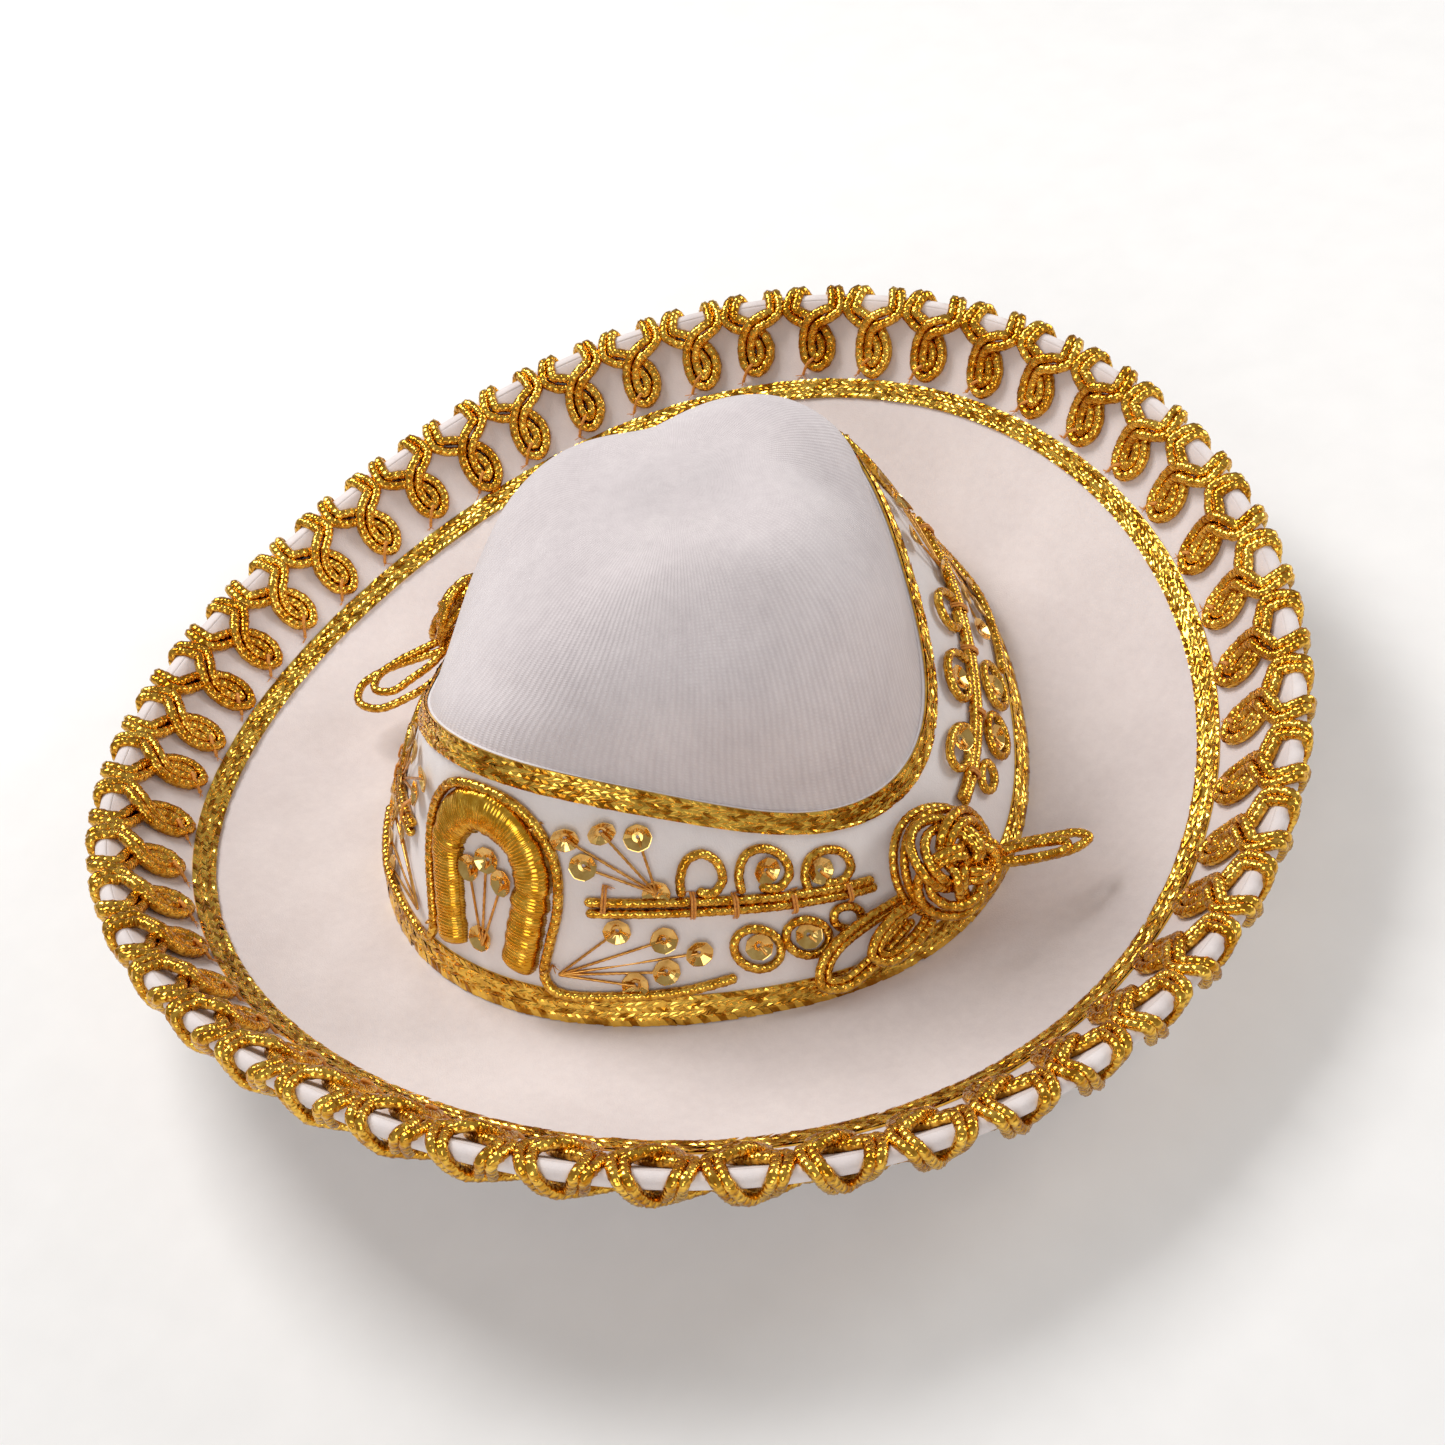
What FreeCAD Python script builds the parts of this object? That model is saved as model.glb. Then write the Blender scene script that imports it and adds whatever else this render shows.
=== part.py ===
"""Child-size charro sombrero: dished, saddle-shaped brim, four-dent crown, gold braid and cord.

Millimetres. +Z is up, the front horseshoe faces -Y and the side knots are at +X and -X. The
origin is on the resting face, under the middle of the crown.

The brim and the crown are surfaces of rings. At the angle a from +X, a ring lies at
radius + oval*cos(2a) + lobe*cos(4a), and at the height level - saddle*cos(2a), so the brim is
low under the knots and high under the horseshoes. Every layer, ribbon and cord is placed on
one of the two surfaces by its angle, its distance along the profile and its height above it.
"""
import FreeCAD, Part
import Sketcher
import math
import os
from FreeCAD import Placement, Rotation, Vector

FULL_TURN = 2 * math.pi
RING_POINTS = 48
ORIGIN = Vector(0, 0, 0)
UP = Vector(0, 0, 1)
HALF_TURN = Placement(ORIGIN, Rotation(UP, 180))

os.makedirs("parts", exist_ok=True)
doc = FreeCAD.newDocument("Sombrero")

# ---------------------------------------------------------------- driving dimensions

STATION_COLUMNS = ["radius", "oval", "lobe", "level", "saddle", "lean"]

# The brim's upper face, from the head opening to the rim.
BRIM_STATIONS = {
    "mouth": [83.5, -3.0, 2.0, 0.0, 9.0, 0.0],
    "seat": [91.0, -3.0, 2.0, 0.3, 9.0, 0.0],
    "dish": [112.0, -2.0, 1.0, 4.0, 10.5, 0.0],
    "turn": [131.8, -0.3, -0.3, 12.7, 11.5, 0.0],
    "rise": [141.0, 0.7, -0.6, 21.3, 12.0, 0.0],
    "brink": [149.6, 1.8, -0.9, 31.6, 12.5, 0.0],
}

# The crown's outer face, from its foot on the brim to the flat at its top.
CROWN_STATIONS = {
    "foot": [86.5, -3.0, 2.0, 0.3, 9.0, 0.0],
    "waist": [74.5, -1.5, 2.0, 24.5, 14.5, 0.0],
    "border": [62.5, 0.5, 2.5, 48.5, 20.0, 0.0],
    "shoulder": [53.0, 0.0, 2.0, 72.5, 8.0, 0.5],
    "dome": [44.0, 0.0, 4.0, 84.0, 3.0, 0.75],
    "crest": [29.0, 0.0, 4.0, 94.5, 0.0, 0.95],
    "top": [9.0, 0.0, 0.0, 97.0, 0.0, 1.0],
}

SIZES = {
    "lift": 12.2,
    "top_lean_x": 11.5,
    "top_lean_y": 4.0,
    "velvet_thick": 0.8,
    "board_thick": 2.0,
    "under_velvet_thick": 1.4,
    "shell_thick": 1.5,
    "lining_thick": 0.7,
    "sweatband_thick": 1.2,
    "sweatband_width": 24.0,
    "band_thick": 1.2,
    "ribbon_thick": 1.0,
    "ribbon_width": 6.0,
    "wire_diameter": 2.0,
    "lace_diameter": 3.0,
    "lace_units": 48,
    "lace_half_arm": 6.4,
    "lace_half_loop": 3.1,
    "cord_diameter": 2.4,
    "outline_diameter": 2.6,
    "thread_diameter": 0.6,
    "stitch_diameter": 0.9,
    "sequin_rim": 3.4,
    "sequin_depth": 0.9,
    "sequin_foil": 0.25,
    "horseshoe_outer": 17.0,
    "horseshoe_inner": 7.5,
    "horseshoe_centre": 50.0,
    "horseshoe_foot": 31.0,
    "foot_outer": 13.5,
    "foot_inner": 5.0,
    "horseshoe_thick": 4.0,
    "knot_across": 15.0,
    "knot_along": 15.5,
    "knot_deep": 8.5,
    "horseshoe_angle": -88.5,
    "knot_angle": -7.0,
}


def build_sheet():
    """Write every driving dimension to the sheet as a plain number with a word for its alias."""
    table = doc.addObject("Spreadsheet::Sheet", "Sizes")
    rows = dict(SIZES)
    for part, stations in (("brim", BRIM_STATIONS), ("crown", CROWN_STATIONS)):
        for station, values in stations.items():
            for column, value in zip(STATION_COLUMNS, values):
                rows["_".join((part, station, column))] = value
    for row, (alias, value) in enumerate(rows.items(), start=1):
        table.set("A%d" % row, alias)
        table.set("B%d" % row, str(value))
        table.setAlias("B%d" % row, alias)
    doc.recompute()
    return table


sheet = build_sheet()


def size(alias):
    return float(sheet.get(alias))


# ---------------------------------------------------------------- the two surfaces


class RingSurface:
    """A surface of rings, smooth through its stations and measured in mm along its profile."""

    def __init__(self, part, stations):
        self.rows = []
        self.at = {}
        distance = 0.0
        last = None
        for station in stations:
            row = [size("_".join((part, station, column))) for column in STATION_COLUMNS]
            if last:
                distance += math.hypot(row[0] - last[0], row[3] - last[3])
            self.rows.append([distance] + row)
            self.at[station] = distance
            last = row
        self.end = distance
        self.slopes = [self.slope(index) for index in range(len(self.rows))]

    def slope(self, index):
        """Rate of change of each column at a station, from its neighbours."""
        before = self.rows[max(index - 1, 0)]
        after = self.rows[min(index + 1, len(self.rows) - 1)]
        span = after[0] - before[0]
        return [(high - low) / span for low, high in zip(before[1:], after[1:])]

    def profile(self, distance):
        """The six ring values at a distance along the profile, by cubic interpolation."""
        index = 0
        while index < len(self.rows) - 2 and distance > self.rows[index + 1][0]:
            index += 1
        low = self.rows[index]
        high = self.rows[index + 1]
        span = high[0] - low[0]
        part = (distance - low[0]) / span
        low_weight = 1 - 3 * part ** 2 + 2 * part ** 3
        low_slope = (part - 2 * part ** 2 + part ** 3) * span
        high_slope = (part ** 3 - part ** 2) * span
        values = []
        for column in range(len(STATION_COLUMNS)):
            value = low[column + 1] * low_weight + high[column + 1] * (1 - low_weight)
            value += self.slopes[index][column] * low_slope
            value += self.slopes[index + 1][column] * high_slope
            values.append(value)
        return values

    def point(self, angle, distance, offset=0.0):
        """Point at an angle in radians, moved off the surface along the mean profile's normal."""
        radius, oval, lobe, level, saddle, lean = self.profile(distance)
        ahead = self.profile(min(distance + 0.1, self.end))
        behind = self.profile(max(distance - 0.1, 0.0))
        run = ahead[0] - behind[0]
        rise = ahead[3] - behind[3]
        length = math.hypot(run, rise)
        out = rise / length
        up = -run / length
        if self is brim:
            out, up = -out, -up
        if distance < 0.05:
            out, up = self.foot_normal
        reach = radius + oval * math.cos(2 * angle) + lobe * math.cos(4 * angle) + offset * out
        height = level - saddle * math.cos(2 * angle) + offset * up
        return Vector(
            reach * math.cos(angle) + size("top_lean_x") * lean,
            reach * math.sin(angle) + size("top_lean_y") * lean,
            height + size("lift"),
        )

    def frame(self, angle, distance):
        """Unit vectors round the hat, up the profile and out of the surface."""
        step = 0.01
        around = self.point(angle + step, distance) - self.point(angle - step, distance)
        low = max(distance - 0.5, 0.06)
        along = self.point(angle, low + 1.0) - self.point(angle, low)
        around.normalize()
        along.normalize()
        normal = around.cross(along)
        if self is brim:
            normal = -normal
        normal.normalize()
        return around, along, normal

    def lay(self, angle, distance, offset, across=0.0):
        """Point at a true height above the surface, moved round the hat by across mm."""
        around, along, normal = self.frame(angle, distance)
        start = self.point(angle, distance)
        radius = math.hypot(start.x, start.y)
        moved = angle + across / radius
        return self.point(moved, distance) + self.frame(moved, distance)[2] * offset


brim = None
crown = RingSurface("crown", CROWN_STATIONS)
crown.foot_normal = (1.0, 0.0)
brim = RingSurface("brim", BRIM_STATIONS)
brim.foot_normal = (0.0, 1.0)
BAND_END = crown.at["border"]


# ---------------------------------------------------------------- shape helpers


def ring(surface, distance, offset):
    points = []
    for index in range(RING_POINTS):
        points.append(surface.point(FULL_TURN * index / RING_POINTS, distance, offset))
    curve = Part.BSplineCurve()
    curve.interpolate(Points=points, PeriodicFlag=True)
    return Part.Wire([curve.toShape()])


def solid_from_faces(faces):
    shell = Part.makeCompound(faces)
    shell.sewShape(0.01)
    solid = Part.Solid(shell.Shells[0])
    if solid.Volume < 0:
        solid.reverse()
    return solid


def ring_layer(surface, start, end, low, high, sections, capped=False):
    """Layer between two offsets of a surface, from start to end along its profile."""
    steps = [start + (end - start) * index / (sections - 1) for index in range(sections)]
    upper = [ring(surface, step, high) for step in steps]
    lower = [ring(surface, step, low) for step in steps]
    faces = Part.makeLoft(upper, False, False).Faces
    faces += Part.makeLoft(lower, False, False).Faces
    faces += Part.makeLoft([upper[0], lower[0]], False, True).Faces
    if capped:
        faces += [Part.Face(upper[-1]), Part.Face(lower[-1])]
    else:
        faces += Part.makeLoft([upper[-1], lower[-1]], False, True).Faces
    return solid_from_faces(faces)


def ring_wire(surface, distance, offset, diameter, sides=8):
    """Closed wire round the hat with a many-sided section."""
    rings = []
    for index in range(sides):
        turn = FULL_TURN * index / sides
        along = diameter / 2 * math.cos(turn)
        off = diameter / 2 * math.sin(turn)
        rings.append(ring(surface, distance + along, offset + off))
    faces = []
    for index in range(sides):
        faces += Part.makeLoft([rings[index - 1], rings[index]], False, True).Faces
    return solid_from_faces(faces)


def tube(points, diameter):
    """Round cord along straight runs joined by tangent arcs, its volume checked."""
    edges = []
    start = points[0]
    for before, corner, after in zip(points, points[1:], points[2:]):
        arriving = corner - before
        leaving = after - corner
        reach = 0.45 * min(arriving.Length, leaving.Length)
        turn = arriving.getAngle(leaving)
        arriving.normalize()
        leaving.normalize()
        arc_start = corner - arriving * reach
        arc_end = corner + leaving * reach
        inward = (leaving - arriving).normalize()
        radius = reach / math.tan(turn / 2)
        arc_middle = corner + inward * (radius / math.cos(turn / 2) - radius)
        edges.append(Part.LineSegment(start, arc_start).toShape())
        edges.append(Part.Arc(arc_start, arc_middle, arc_end).toShape())
        start = arc_end
    edges.append(Part.LineSegment(start, points[-1]).toShape())
    path = Part.Wire(edges)
    section = Part.Wire([Part.makeCircle(diameter / 2, points[0], points[1] - points[0])])
    cord = path.makePipeShell([section], True, False)
    expected = math.pi * diameter ** 2 / 4 * path.Length
    if cord.Volume < 0:
        cord.reverse()
    if abs(cord.Volume - expected) > 0.03 * expected:
        raise ValueError("tube volume %.1f, expected %.1f" % (cord.Volume, expected))
    return cord


def rod(start, end, diameter):
    axis = end - start
    return Part.makeCylinder(diameter / 2, axis.Length, start, axis)


SUBPARTS = []


def keep(item, label):
    """Give an object the name of its piece and list it for writing."""
    item.Label = label
    SUBPARTS.append(item)
    return item


def feature(label, shape, placement=None):
    item = doc.addObject("Part::Feature", label)
    item.Shape = shape
    item.Placement = placement or Placement()
    return item


def add(label, shape, placement=None):
    return keep(feature(label, shape, placement), label)


def add_pair(near, far, shape):
    """The same piece on opposite sides of the hat, turned half round for the far one."""
    add(near, shape)
    add(far, shape, HALF_TURN)


# ---------------------------------------------------------------- brim


def build_brim():
    velvet = size("velvet_thick")
    board = velvet + size("board_thick")
    under = board + size("under_velvet_thick")
    wire = size("wire_diameter")
    add("brim_top_velvet", ring_layer(brim, 0, brim.end, -velvet, 0, 12))
    add("brim_board", ring_layer(brim, 0, brim.end - wire * 1.2, -board, -velvet, 12))
    add("brim_edge_wire", ring_wire(brim, brim.end - wire * 0.55, -(velvet + board) / 2, wire * 0.96))

    blank = feature("under_velvet_blank", ring_layer(brim, 0, brim.end, -under, -board, 12))
    block = doc.addObject("Part::Box", "below_floor")
    block.setExpression("Length", "Sizes.brim_brink_radius * 3")
    block.setExpression("Width", "Sizes.brim_brink_radius * 3")
    block.setExpression("Height", "Sizes.lift")
    block.setExpression("Placement.Base.x", "-Sizes.brim_brink_radius * 1.5")
    block.setExpression("Placement.Base.y", "-Sizes.brim_brink_radius * 1.5")
    block.setExpression("Placement.Base.z", "-Sizes.lift")
    trimmed = doc.addObject("Part::Cut", "brim_under_velvet")
    trimmed.Base = blank
    trimmed.Tool = block
    keep(trimmed, "brim_under_velvet")

    half = size("ribbon_width") / 2
    turn = brim.at["turn"]
    add("brim_ribbon", ring_layer(brim, turn - half, turn + half, 0, size("ribbon_thick"), 3))


# ---------------------------------------------------------------- crown and band


def build_crown():
    velvet = size("velvet_thick")
    shell = velvet + size("shell_thick")
    lining = shell + size("lining_thick")
    sweat = lining + size("sweatband_thick")
    add("crown_velvet", ring_layer(crown, 0, crown.end, -velvet, 0, 16, capped=True))
    add("crown_shell", ring_layer(crown, 0, crown.end, -shell, -velvet, 16, capped=True))
    add("crown_lining", ring_layer(crown, 0, crown.end, -lining, -shell, 16, capped=True))
    width = size("sweatband_width")
    add("sweatband", ring_layer(crown, 0, width, -sweat, -lining, 5))


def build_band():
    band = size("band_thick")
    ribbon = band + size("ribbon_thick")
    width = size("ribbon_width")
    add("hat_band", ring_layer(crown, 0, BAND_END, 0, band, 7))
    add("band_ribbon_lower", ring_layer(crown, 0, width, band, ribbon, 3))
    add("band_ribbon_upper", ring_layer(crown, BAND_END - width, BAND_END, band, ribbon, 3))


# ---------------------------------------------------------------- rim lacing

# One unit of the lacing, from the middle of one loop under the rim to the middle of the next.
# Each point is: across as a part of the arm or loop width, distance from the edge along the
# face, and cord thicknesses above that face. The far side repeats it mirrored, crossing over.
LACE_TOP_ARM = [(1.0, 2.0, 0.55), (0.55, 5.0, 0.6), (0.0, 7.4, 0.6)]
LACE_TOP_LOOP = [(-0.7, 10.0, 0.6), (-1.0, 13.5, 0.6), (-0.85, 17.0, 0.6)]
LACE_END = (0.0, 19.3, 0.6)
LACE_OVER = 1.1


def lace_strand(centre, shift):
    """One cord of the pair round one unit. shift moves it sideways from the pair's middle."""
    arm = size("lace_half_arm")
    loop = size("lace_half_loop")
    thick = size("lace_diameter")
    pitch = FULL_TURN / size("lace_units")
    radius = size("brim_brink_radius")
    low_face = -(size("velvet_thick") + size("board_thick") + size("under_velvet_thick"))

    def top(across, from_edge, height):
        angle = centre + across / radius
        return brim.point(angle, brim.end - from_edge, height * thick)

    def under(across, from_edge, height):
        angle = centre + across / radius
        return brim.point(angle, brim.end - from_edge, low_face - height * thick)

    def edge(across):
        angle = centre + across / radius
        inside = brim.point(angle, brim.end - 1.0, low_face / 2)
        rim = brim.point(angle, brim.end, low_face / 2)
        outward = (rim - inside).normalize()
        return rim + outward * thick * 0.62

    half_pitch = pitch * radius / 2
    outside = shift
    route = [under(-half_pitch, 7.5, 0.6)]
    route.append(under(-arm * 1.05 - outside, 2.2, 0.6))
    route.append(edge(-arm - outside))
    for across, from_edge, height in LACE_TOP_ARM:
        route.append(top(-across * arm - outside, from_edge, height))
    for across, from_edge, height in LACE_TOP_LOOP:
        route.append(top(-across * (loop + outside), from_edge, height))
    route.append(top(0.0, LACE_END[1] + outside, LACE_END[2]))
    for across, from_edge, height in reversed(LACE_TOP_LOOP):
        route.append(top(across * (loop + outside), from_edge, height))
    for across, from_edge, height in reversed(LACE_TOP_ARM):
        over = LACE_OVER * (1 - abs(across))
        route.append(top(across * arm + outside, from_edge, height + over))
    route.append(edge(arm + outside))
    route.append(under(arm * 1.05 + outside, 2.2, 0.6))
    route.append(under(half_pitch, 7.5, 1.6))
    return tube(route, thick * 0.98)


def build_lacing():
    units = int(size("lace_units"))
    pitch = FULL_TURN / units
    side_step = size("lace_diameter") / 2
    for label, shift in (("rim_lacing_outer_cord", side_step), ("rim_lacing_inner_cord", -side_step)):
        strands = []
        for index in range(units // 2):
            strand = lace_strand((index + 0.5) * pitch, shift)
            turned = strand.copy()
            turned.rotate(ORIGIN, UP, 180)
            strands += [strand, turned]
        add(label, Part.makeCompound(strands))

    stitches = []
    for index in range(units):
        angle = (index + 0.5) * pitch
        start = brim.lay(angle, brim.end - 20.5, 3.2, -1.5)
        end = brim.lay(angle, brim.end - 23.5, 0.8, 3.0)
        stitches.append(rod(start, end, size("stitch_diameter")))
    add("rim_tack_stitches", Part.makeCompound(stitches))


# ---------------------------------------------------------------- band ornament

# Places on a quarter of the band. The first number runs from 0 at the middle of the horseshoe
# to 1 at the middle of the knot, the second from 0 at the band's foot to 1 at its upper border.
UPPER_FAN_HEART = (0.37, 0.57)
UPPER_FAN = [(0.19, 0.74), (0.27, 0.79), (0.35, 0.79), (0.225, 0.645)]
LOWER_FAN_HEART = (0.16, 0.19)
LOWER_FAN = [(0.28, 0.40), (0.37, 0.37), (0.435, 0.31), (0.365, 0.23), (0.305, 0.17)]
STEM_ROUTE = [(0.22, 0.485), (0.35, 0.505), (0.47, 0.52), (0.60, 0.53), (0.74, 0.535), (0.86, 0.52)]
SCROLL_ROUTE = [(0.30, 0.125), (0.40, 0.145), (0.50, 0.185)]
UPPER_CURLS = [(0.47, 0.655, 10.0, 10.5), (0.615, 0.69, 12.5, 12.5), (0.765, 0.675, 12.5, 12.0)]
ROUND_CURLS = [(0.555, 0.31, 5.3), (0.665, 0.33, 5.0), (0.765, 0.385, 3.4)]
CURL_SEQUINS = [(0.56, 0.32), (0.67, 0.34), (0.625, 0.69), (0.75, 0.67)]
LEAF_BACK = [(0.89, 0.40), (0.80, 0.37), (0.71, 0.29), (0.66, 0.17), (0.66, 0.075)]
LEAF_BACK += [(0.70, 0.05), (0.76, 0.10), (0.82, 0.17), (0.89, 0.25)]
LEAF_FRONT = [(0.92, 0.37), (0.85, 0.355), (0.79, 0.28), (0.765, 0.18)]
LEAF_FRONT += [(0.80, 0.12), (0.86, 0.15), (0.92, 0.22)]
STEM_STITCHES = [0.26, 0.44, 0.53, 0.66, 0.79]

# A curl like the letter D, as parts of its width and height from its middle.
CURL_SHAPE = [(-0.5, -0.5), (-0.44, -0.1), (-0.2, 0.32), (0.15, 0.5), (0.44, 0.34)]
CURL_SHAPE += [(0.47, -0.08), (0.2, -0.38), (-0.16, -0.36)]


class Quarter:
    """Band ornament between a horseshoe and a knot. end is the knot's angle in degrees."""

    def __init__(self, start, end):
        self.start = math.radians(start)
        self.span = math.radians(end - start)
        self.side = 1 if end > start else -1

    def place(self, along, up, offset, across=0.0, rise=0.0):
        """Point on the band's face, with mm moves towards the knot and up the band."""
        angle = self.start + self.span * along
        distance = BAND_END * up + rise
        return crown.lay(angle, distance, size("band_thick") + offset, across * self.side)

    def frame(self, along, up):
        return crown.frame(self.start + self.span * along, BAND_END * up)

    def cord(self, route, offset, diameter, rise=0.0):
        points = [self.place(along, up, offset, 0.0, rise) for along, up in route]
        return tube(points, diameter)

    def stems(self):
        diameter = size("cord_diameter")
        rise = diameter * 0.55
        thick = diameter * 0.98
        return [self.cord(STEM_ROUTE, rise, thick, side * diameter / 2) for side in (-1, 1)]

    def upper_curls(self):
        cords = []
        diameter = size("cord_diameter")
        for along, up, width, height in UPPER_CURLS:
            points = []
            for across, rise in CURL_SHAPE:
                points.append(self.place(along, up, diameter * 0.55, across * width, rise * height))
            cords.append(tube(points, diameter))
        return cords

    def lower_curls(self):
        cords = []
        diameter = size("cord_diameter")
        for along, up, radius in ROUND_CURLS:
            centre = self.place(along, up, diameter * 0.6)
            cords.append(Part.makeTorus(radius, diameter / 2, centre, self.frame(along, up)[2]))
        return cords

    def leaf_loops(self):
        diameter = size("cord_diameter")
        back = self.cord(LEAF_BACK, diameter * 1.6, diameter)
        front = self.cord(LEAF_FRONT, diameter * 2.8, diameter)
        return [back, front]

    def sequins(self, blank):
        pieces = []
        for along, up in UPPER_FAN + LOWER_FAN + CURL_SEQUINS + [UPPER_FAN_HEART]:
            pieces.append(place_sequin(blank, self.place(along, up, 0.7), self.frame(along, up)[2]))
        return pieces

    def threads(self):
        threads = []
        for heart, fan in ((UPPER_FAN_HEART, UPPER_FAN), (LOWER_FAN_HEART, LOWER_FAN)):
            for along, up in fan:
                start = self.place(heart[0], heart[1], 1.6)
                threads.append(rod(start, self.place(along, up, 1.9), size("thread_diameter")))
        return threads

    def stitches(self):
        pieces = []
        height = size("cord_diameter") * 1.1 + size("stitch_diameter") / 2
        for along in STEM_STITCHES:
            low = self.place(along, 0.51, height, 0.0, -3.2)
            high = self.place(along, 0.53, height, 1.0, 3.2)
            pieces.append(rod(low, high, size("stitch_diameter")))
        return pieces


def place_sequin(blank, point, normal):
    piece = blank.copy()
    piece.Placement = Placement(point, Rotation(UP, normal))
    return piece


def body_plane(body, role):
    for item in body.Origin.OriginFeatures:
        if item.Role == role:
            return item
    raise ValueError("no plane " + role)


def new_sketch(body, name, role):
    sketch = body.newObject("Sketcher::SketchObject", name)
    sketch.AttachmentSupport = [(body_plane(body, role), "")]
    sketch.MapMode = "FlatFace"
    return sketch


def bind(sketch, kind, places, alias, sign=1):
    """Add a dimension to a sketch and drive it from the sheet."""
    index = sketch.addConstraint(Sketcher.Constraint(kind, *places, sign * size(alias)))
    prefix = "-" if sign < 0 else ""
    sketch.setExpression("Constraints[%d]" % index, prefix + "Sizes." + alias)


def sequin_blank():
    """Shallow cup of foil with a hole, turned about its own axis."""
    body = doc.addObject("PartDesign::Body", "sequin_blank")
    sketch = new_sketch(body, "cup_section", "XZ_Plane")
    rim = size("sequin_rim")
    depth = size("sequin_depth")
    foil = size("sequin_foil")
    hole = 0.5
    flat = 1.3
    outline = [(hole, 0), (flat, 0), (rim, depth), (rim, depth + foil), (flat, foil), (hole, foil)]
    for index, (across, rise) in enumerate(outline):
        after = outline[(index + 1) % len(outline)]
        sketch.addGeometry(Part.LineSegment(Vector(across, rise, 0), Vector(after[0], after[1], 0)))
    for index in range(len(outline)):
        follower = (index + 1) % len(outline)
        sketch.addConstraint(Sketcher.Constraint("Coincident", index, 2, follower, 1))
    bind(sketch, "DistanceX", (-1, 1, 1, 2), "sequin_rim")
    bind(sketch, "DistanceY", (-1, 1, 1, 2), "sequin_depth")
    bind(sketch, "DistanceY", (2, 1, 2, 2), "sequin_foil")
    turned = body.newObject("PartDesign::Revolution", "cup")
    turned.Profile = sketch
    turned.ReferenceAxis = (sketch, ["V_Axis"])
    turned.Angle = 360
    doc.recompute()
    return body.Shape


def horseshoe_body(name, placement):
    """Prism with the horseshoe's outline, pushed out through the band."""
    body = doc.addObject("PartDesign::Body", name)
    sketch = new_sketch(body, name + "_outline", "XZ_Plane")
    outer = size("horseshoe_outer")
    inner = size("horseshoe_inner")
    centre = Vector(0, size("horseshoe_centre"), 0)
    foot = size("horseshoe_foot")
    wide = size("foot_outer")
    narrow = size("foot_inner")
    flat = Vector(0, 0, 1)
    arc = sketch.addGeometry(Part.ArcOfCircle(Part.Circle(centre, flat, outer), 0, math.pi))
    left = sketch.addGeometry(Part.LineSegment(centre + Vector(-outer, 0, 0), Vector(-wide, foot, 0)))
    left_foot = sketch.addGeometry(Part.LineSegment(Vector(-wide, foot, 0), Vector(-narrow, foot, 0)))
    left_in = sketch.addGeometry(Part.LineSegment(Vector(-narrow, foot, 0), centre + Vector(-inner, 0, 0)))
    arch = sketch.addGeometry(Part.ArcOfCircle(Part.Circle(centre, flat, inner), 0, math.pi))
    right_in = sketch.addGeometry(Part.LineSegment(centre + Vector(inner, 0, 0), Vector(narrow, foot, 0)))
    right_foot = sketch.addGeometry(Part.LineSegment(Vector(narrow, foot, 0), Vector(wide, foot, 0)))
    right = sketch.addGeometry(Part.LineSegment(Vector(wide, foot, 0), centre + Vector(outer, 0, 0)))
    joints = [(arc, 2, left, 1), (left, 2, left_foot, 1), (left_foot, 2, left_in, 1)]
    joints += [(left_in, 2, arch, 2), (arch, 1, right_in, 1), (right_in, 2, right_foot, 1)]
    joints += [(right_foot, 2, right, 1), (right, 2, arc, 1)]
    for joint in joints:
        sketch.addConstraint(Sketcher.Constraint("Coincident", *joint))
    for curve in (arc, arch):
        bind(sketch, "DistanceY", (-1, 1, curve, 3), "horseshoe_centre")
        sketch.addConstraint(Sketcher.Constraint("PointOnObject", curve, 3, -2))
        sketch.addConstraint(Sketcher.Constraint("Horizontal", curve, 3, curve, 1))
        sketch.addConstraint(Sketcher.Constraint("Horizontal", curve, 3, curve, 2))
    bind(sketch, "Radius", (arc,), "horseshoe_outer")
    bind(sketch, "Radius", (arch,), "horseshoe_inner")
    for line, alias, sign in ((left_foot, "foot_outer", -1), (right_in, "foot_inner", 1)):
        place = 1 if line == left_foot else 2
        bind(sketch, "DistanceX", (-1, 1, line, place), alias, sign)
        bind(sketch, "DistanceY", (-1, 1, line, place), "horseshoe_foot")
    for line, alias, sign in ((left_foot, "foot_inner", -1), (right_foot, "foot_outer", 1)):
        bind(sketch, "DistanceX", (-1, 1, line, 2), alias, sign)
        bind(sketch, "DistanceY", (-1, 1, line, 2), "horseshoe_foot")
    prism = body.newObject("PartDesign::Pad", name + "_prism")
    prism.Profile = sketch
    prism.setExpression("Length", "Sizes.brim_brink_radius")
    body.Placement = placement
    return body


def horseshoe_cord(quarters):
    """Twisted cord round the horseshoe, running on as a scroll along the foot of the band."""
    diameter = size("outline_diameter")
    offset = diameter * 0.6
    reach = size("horseshoe_outer") + diameter * 0.6
    right, left = quarters
    start = BAND_END * 0.62
    routes = []
    for quarter in (right, left):
        points = [quarter.place(along, up, offset) for along, up in reversed(SCROLL_ROUTE)]
        points.append(quarter.place(0.0, 0.115, offset, reach + 1.0))
        points.append(quarter.place(0.0, 0.17, offset, reach - 2.0))
        points.append(quarter.place(0.0, 0.32, offset, reach - 1.2))
        points.append(quarter.place(0.0, 0.46, offset, reach))
        for turn in (18, 42, 66):
            spin = math.radians(turn)
            height = start - BAND_END * 0.09 + reach * 0.95 * math.sin(spin)
            points.append(quarter.place(0.0, 0.0, offset, reach * math.cos(spin), height))
        routes.append(points)
    return tube(routes[0] + list(reversed(routes[1])), diameter)


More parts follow.
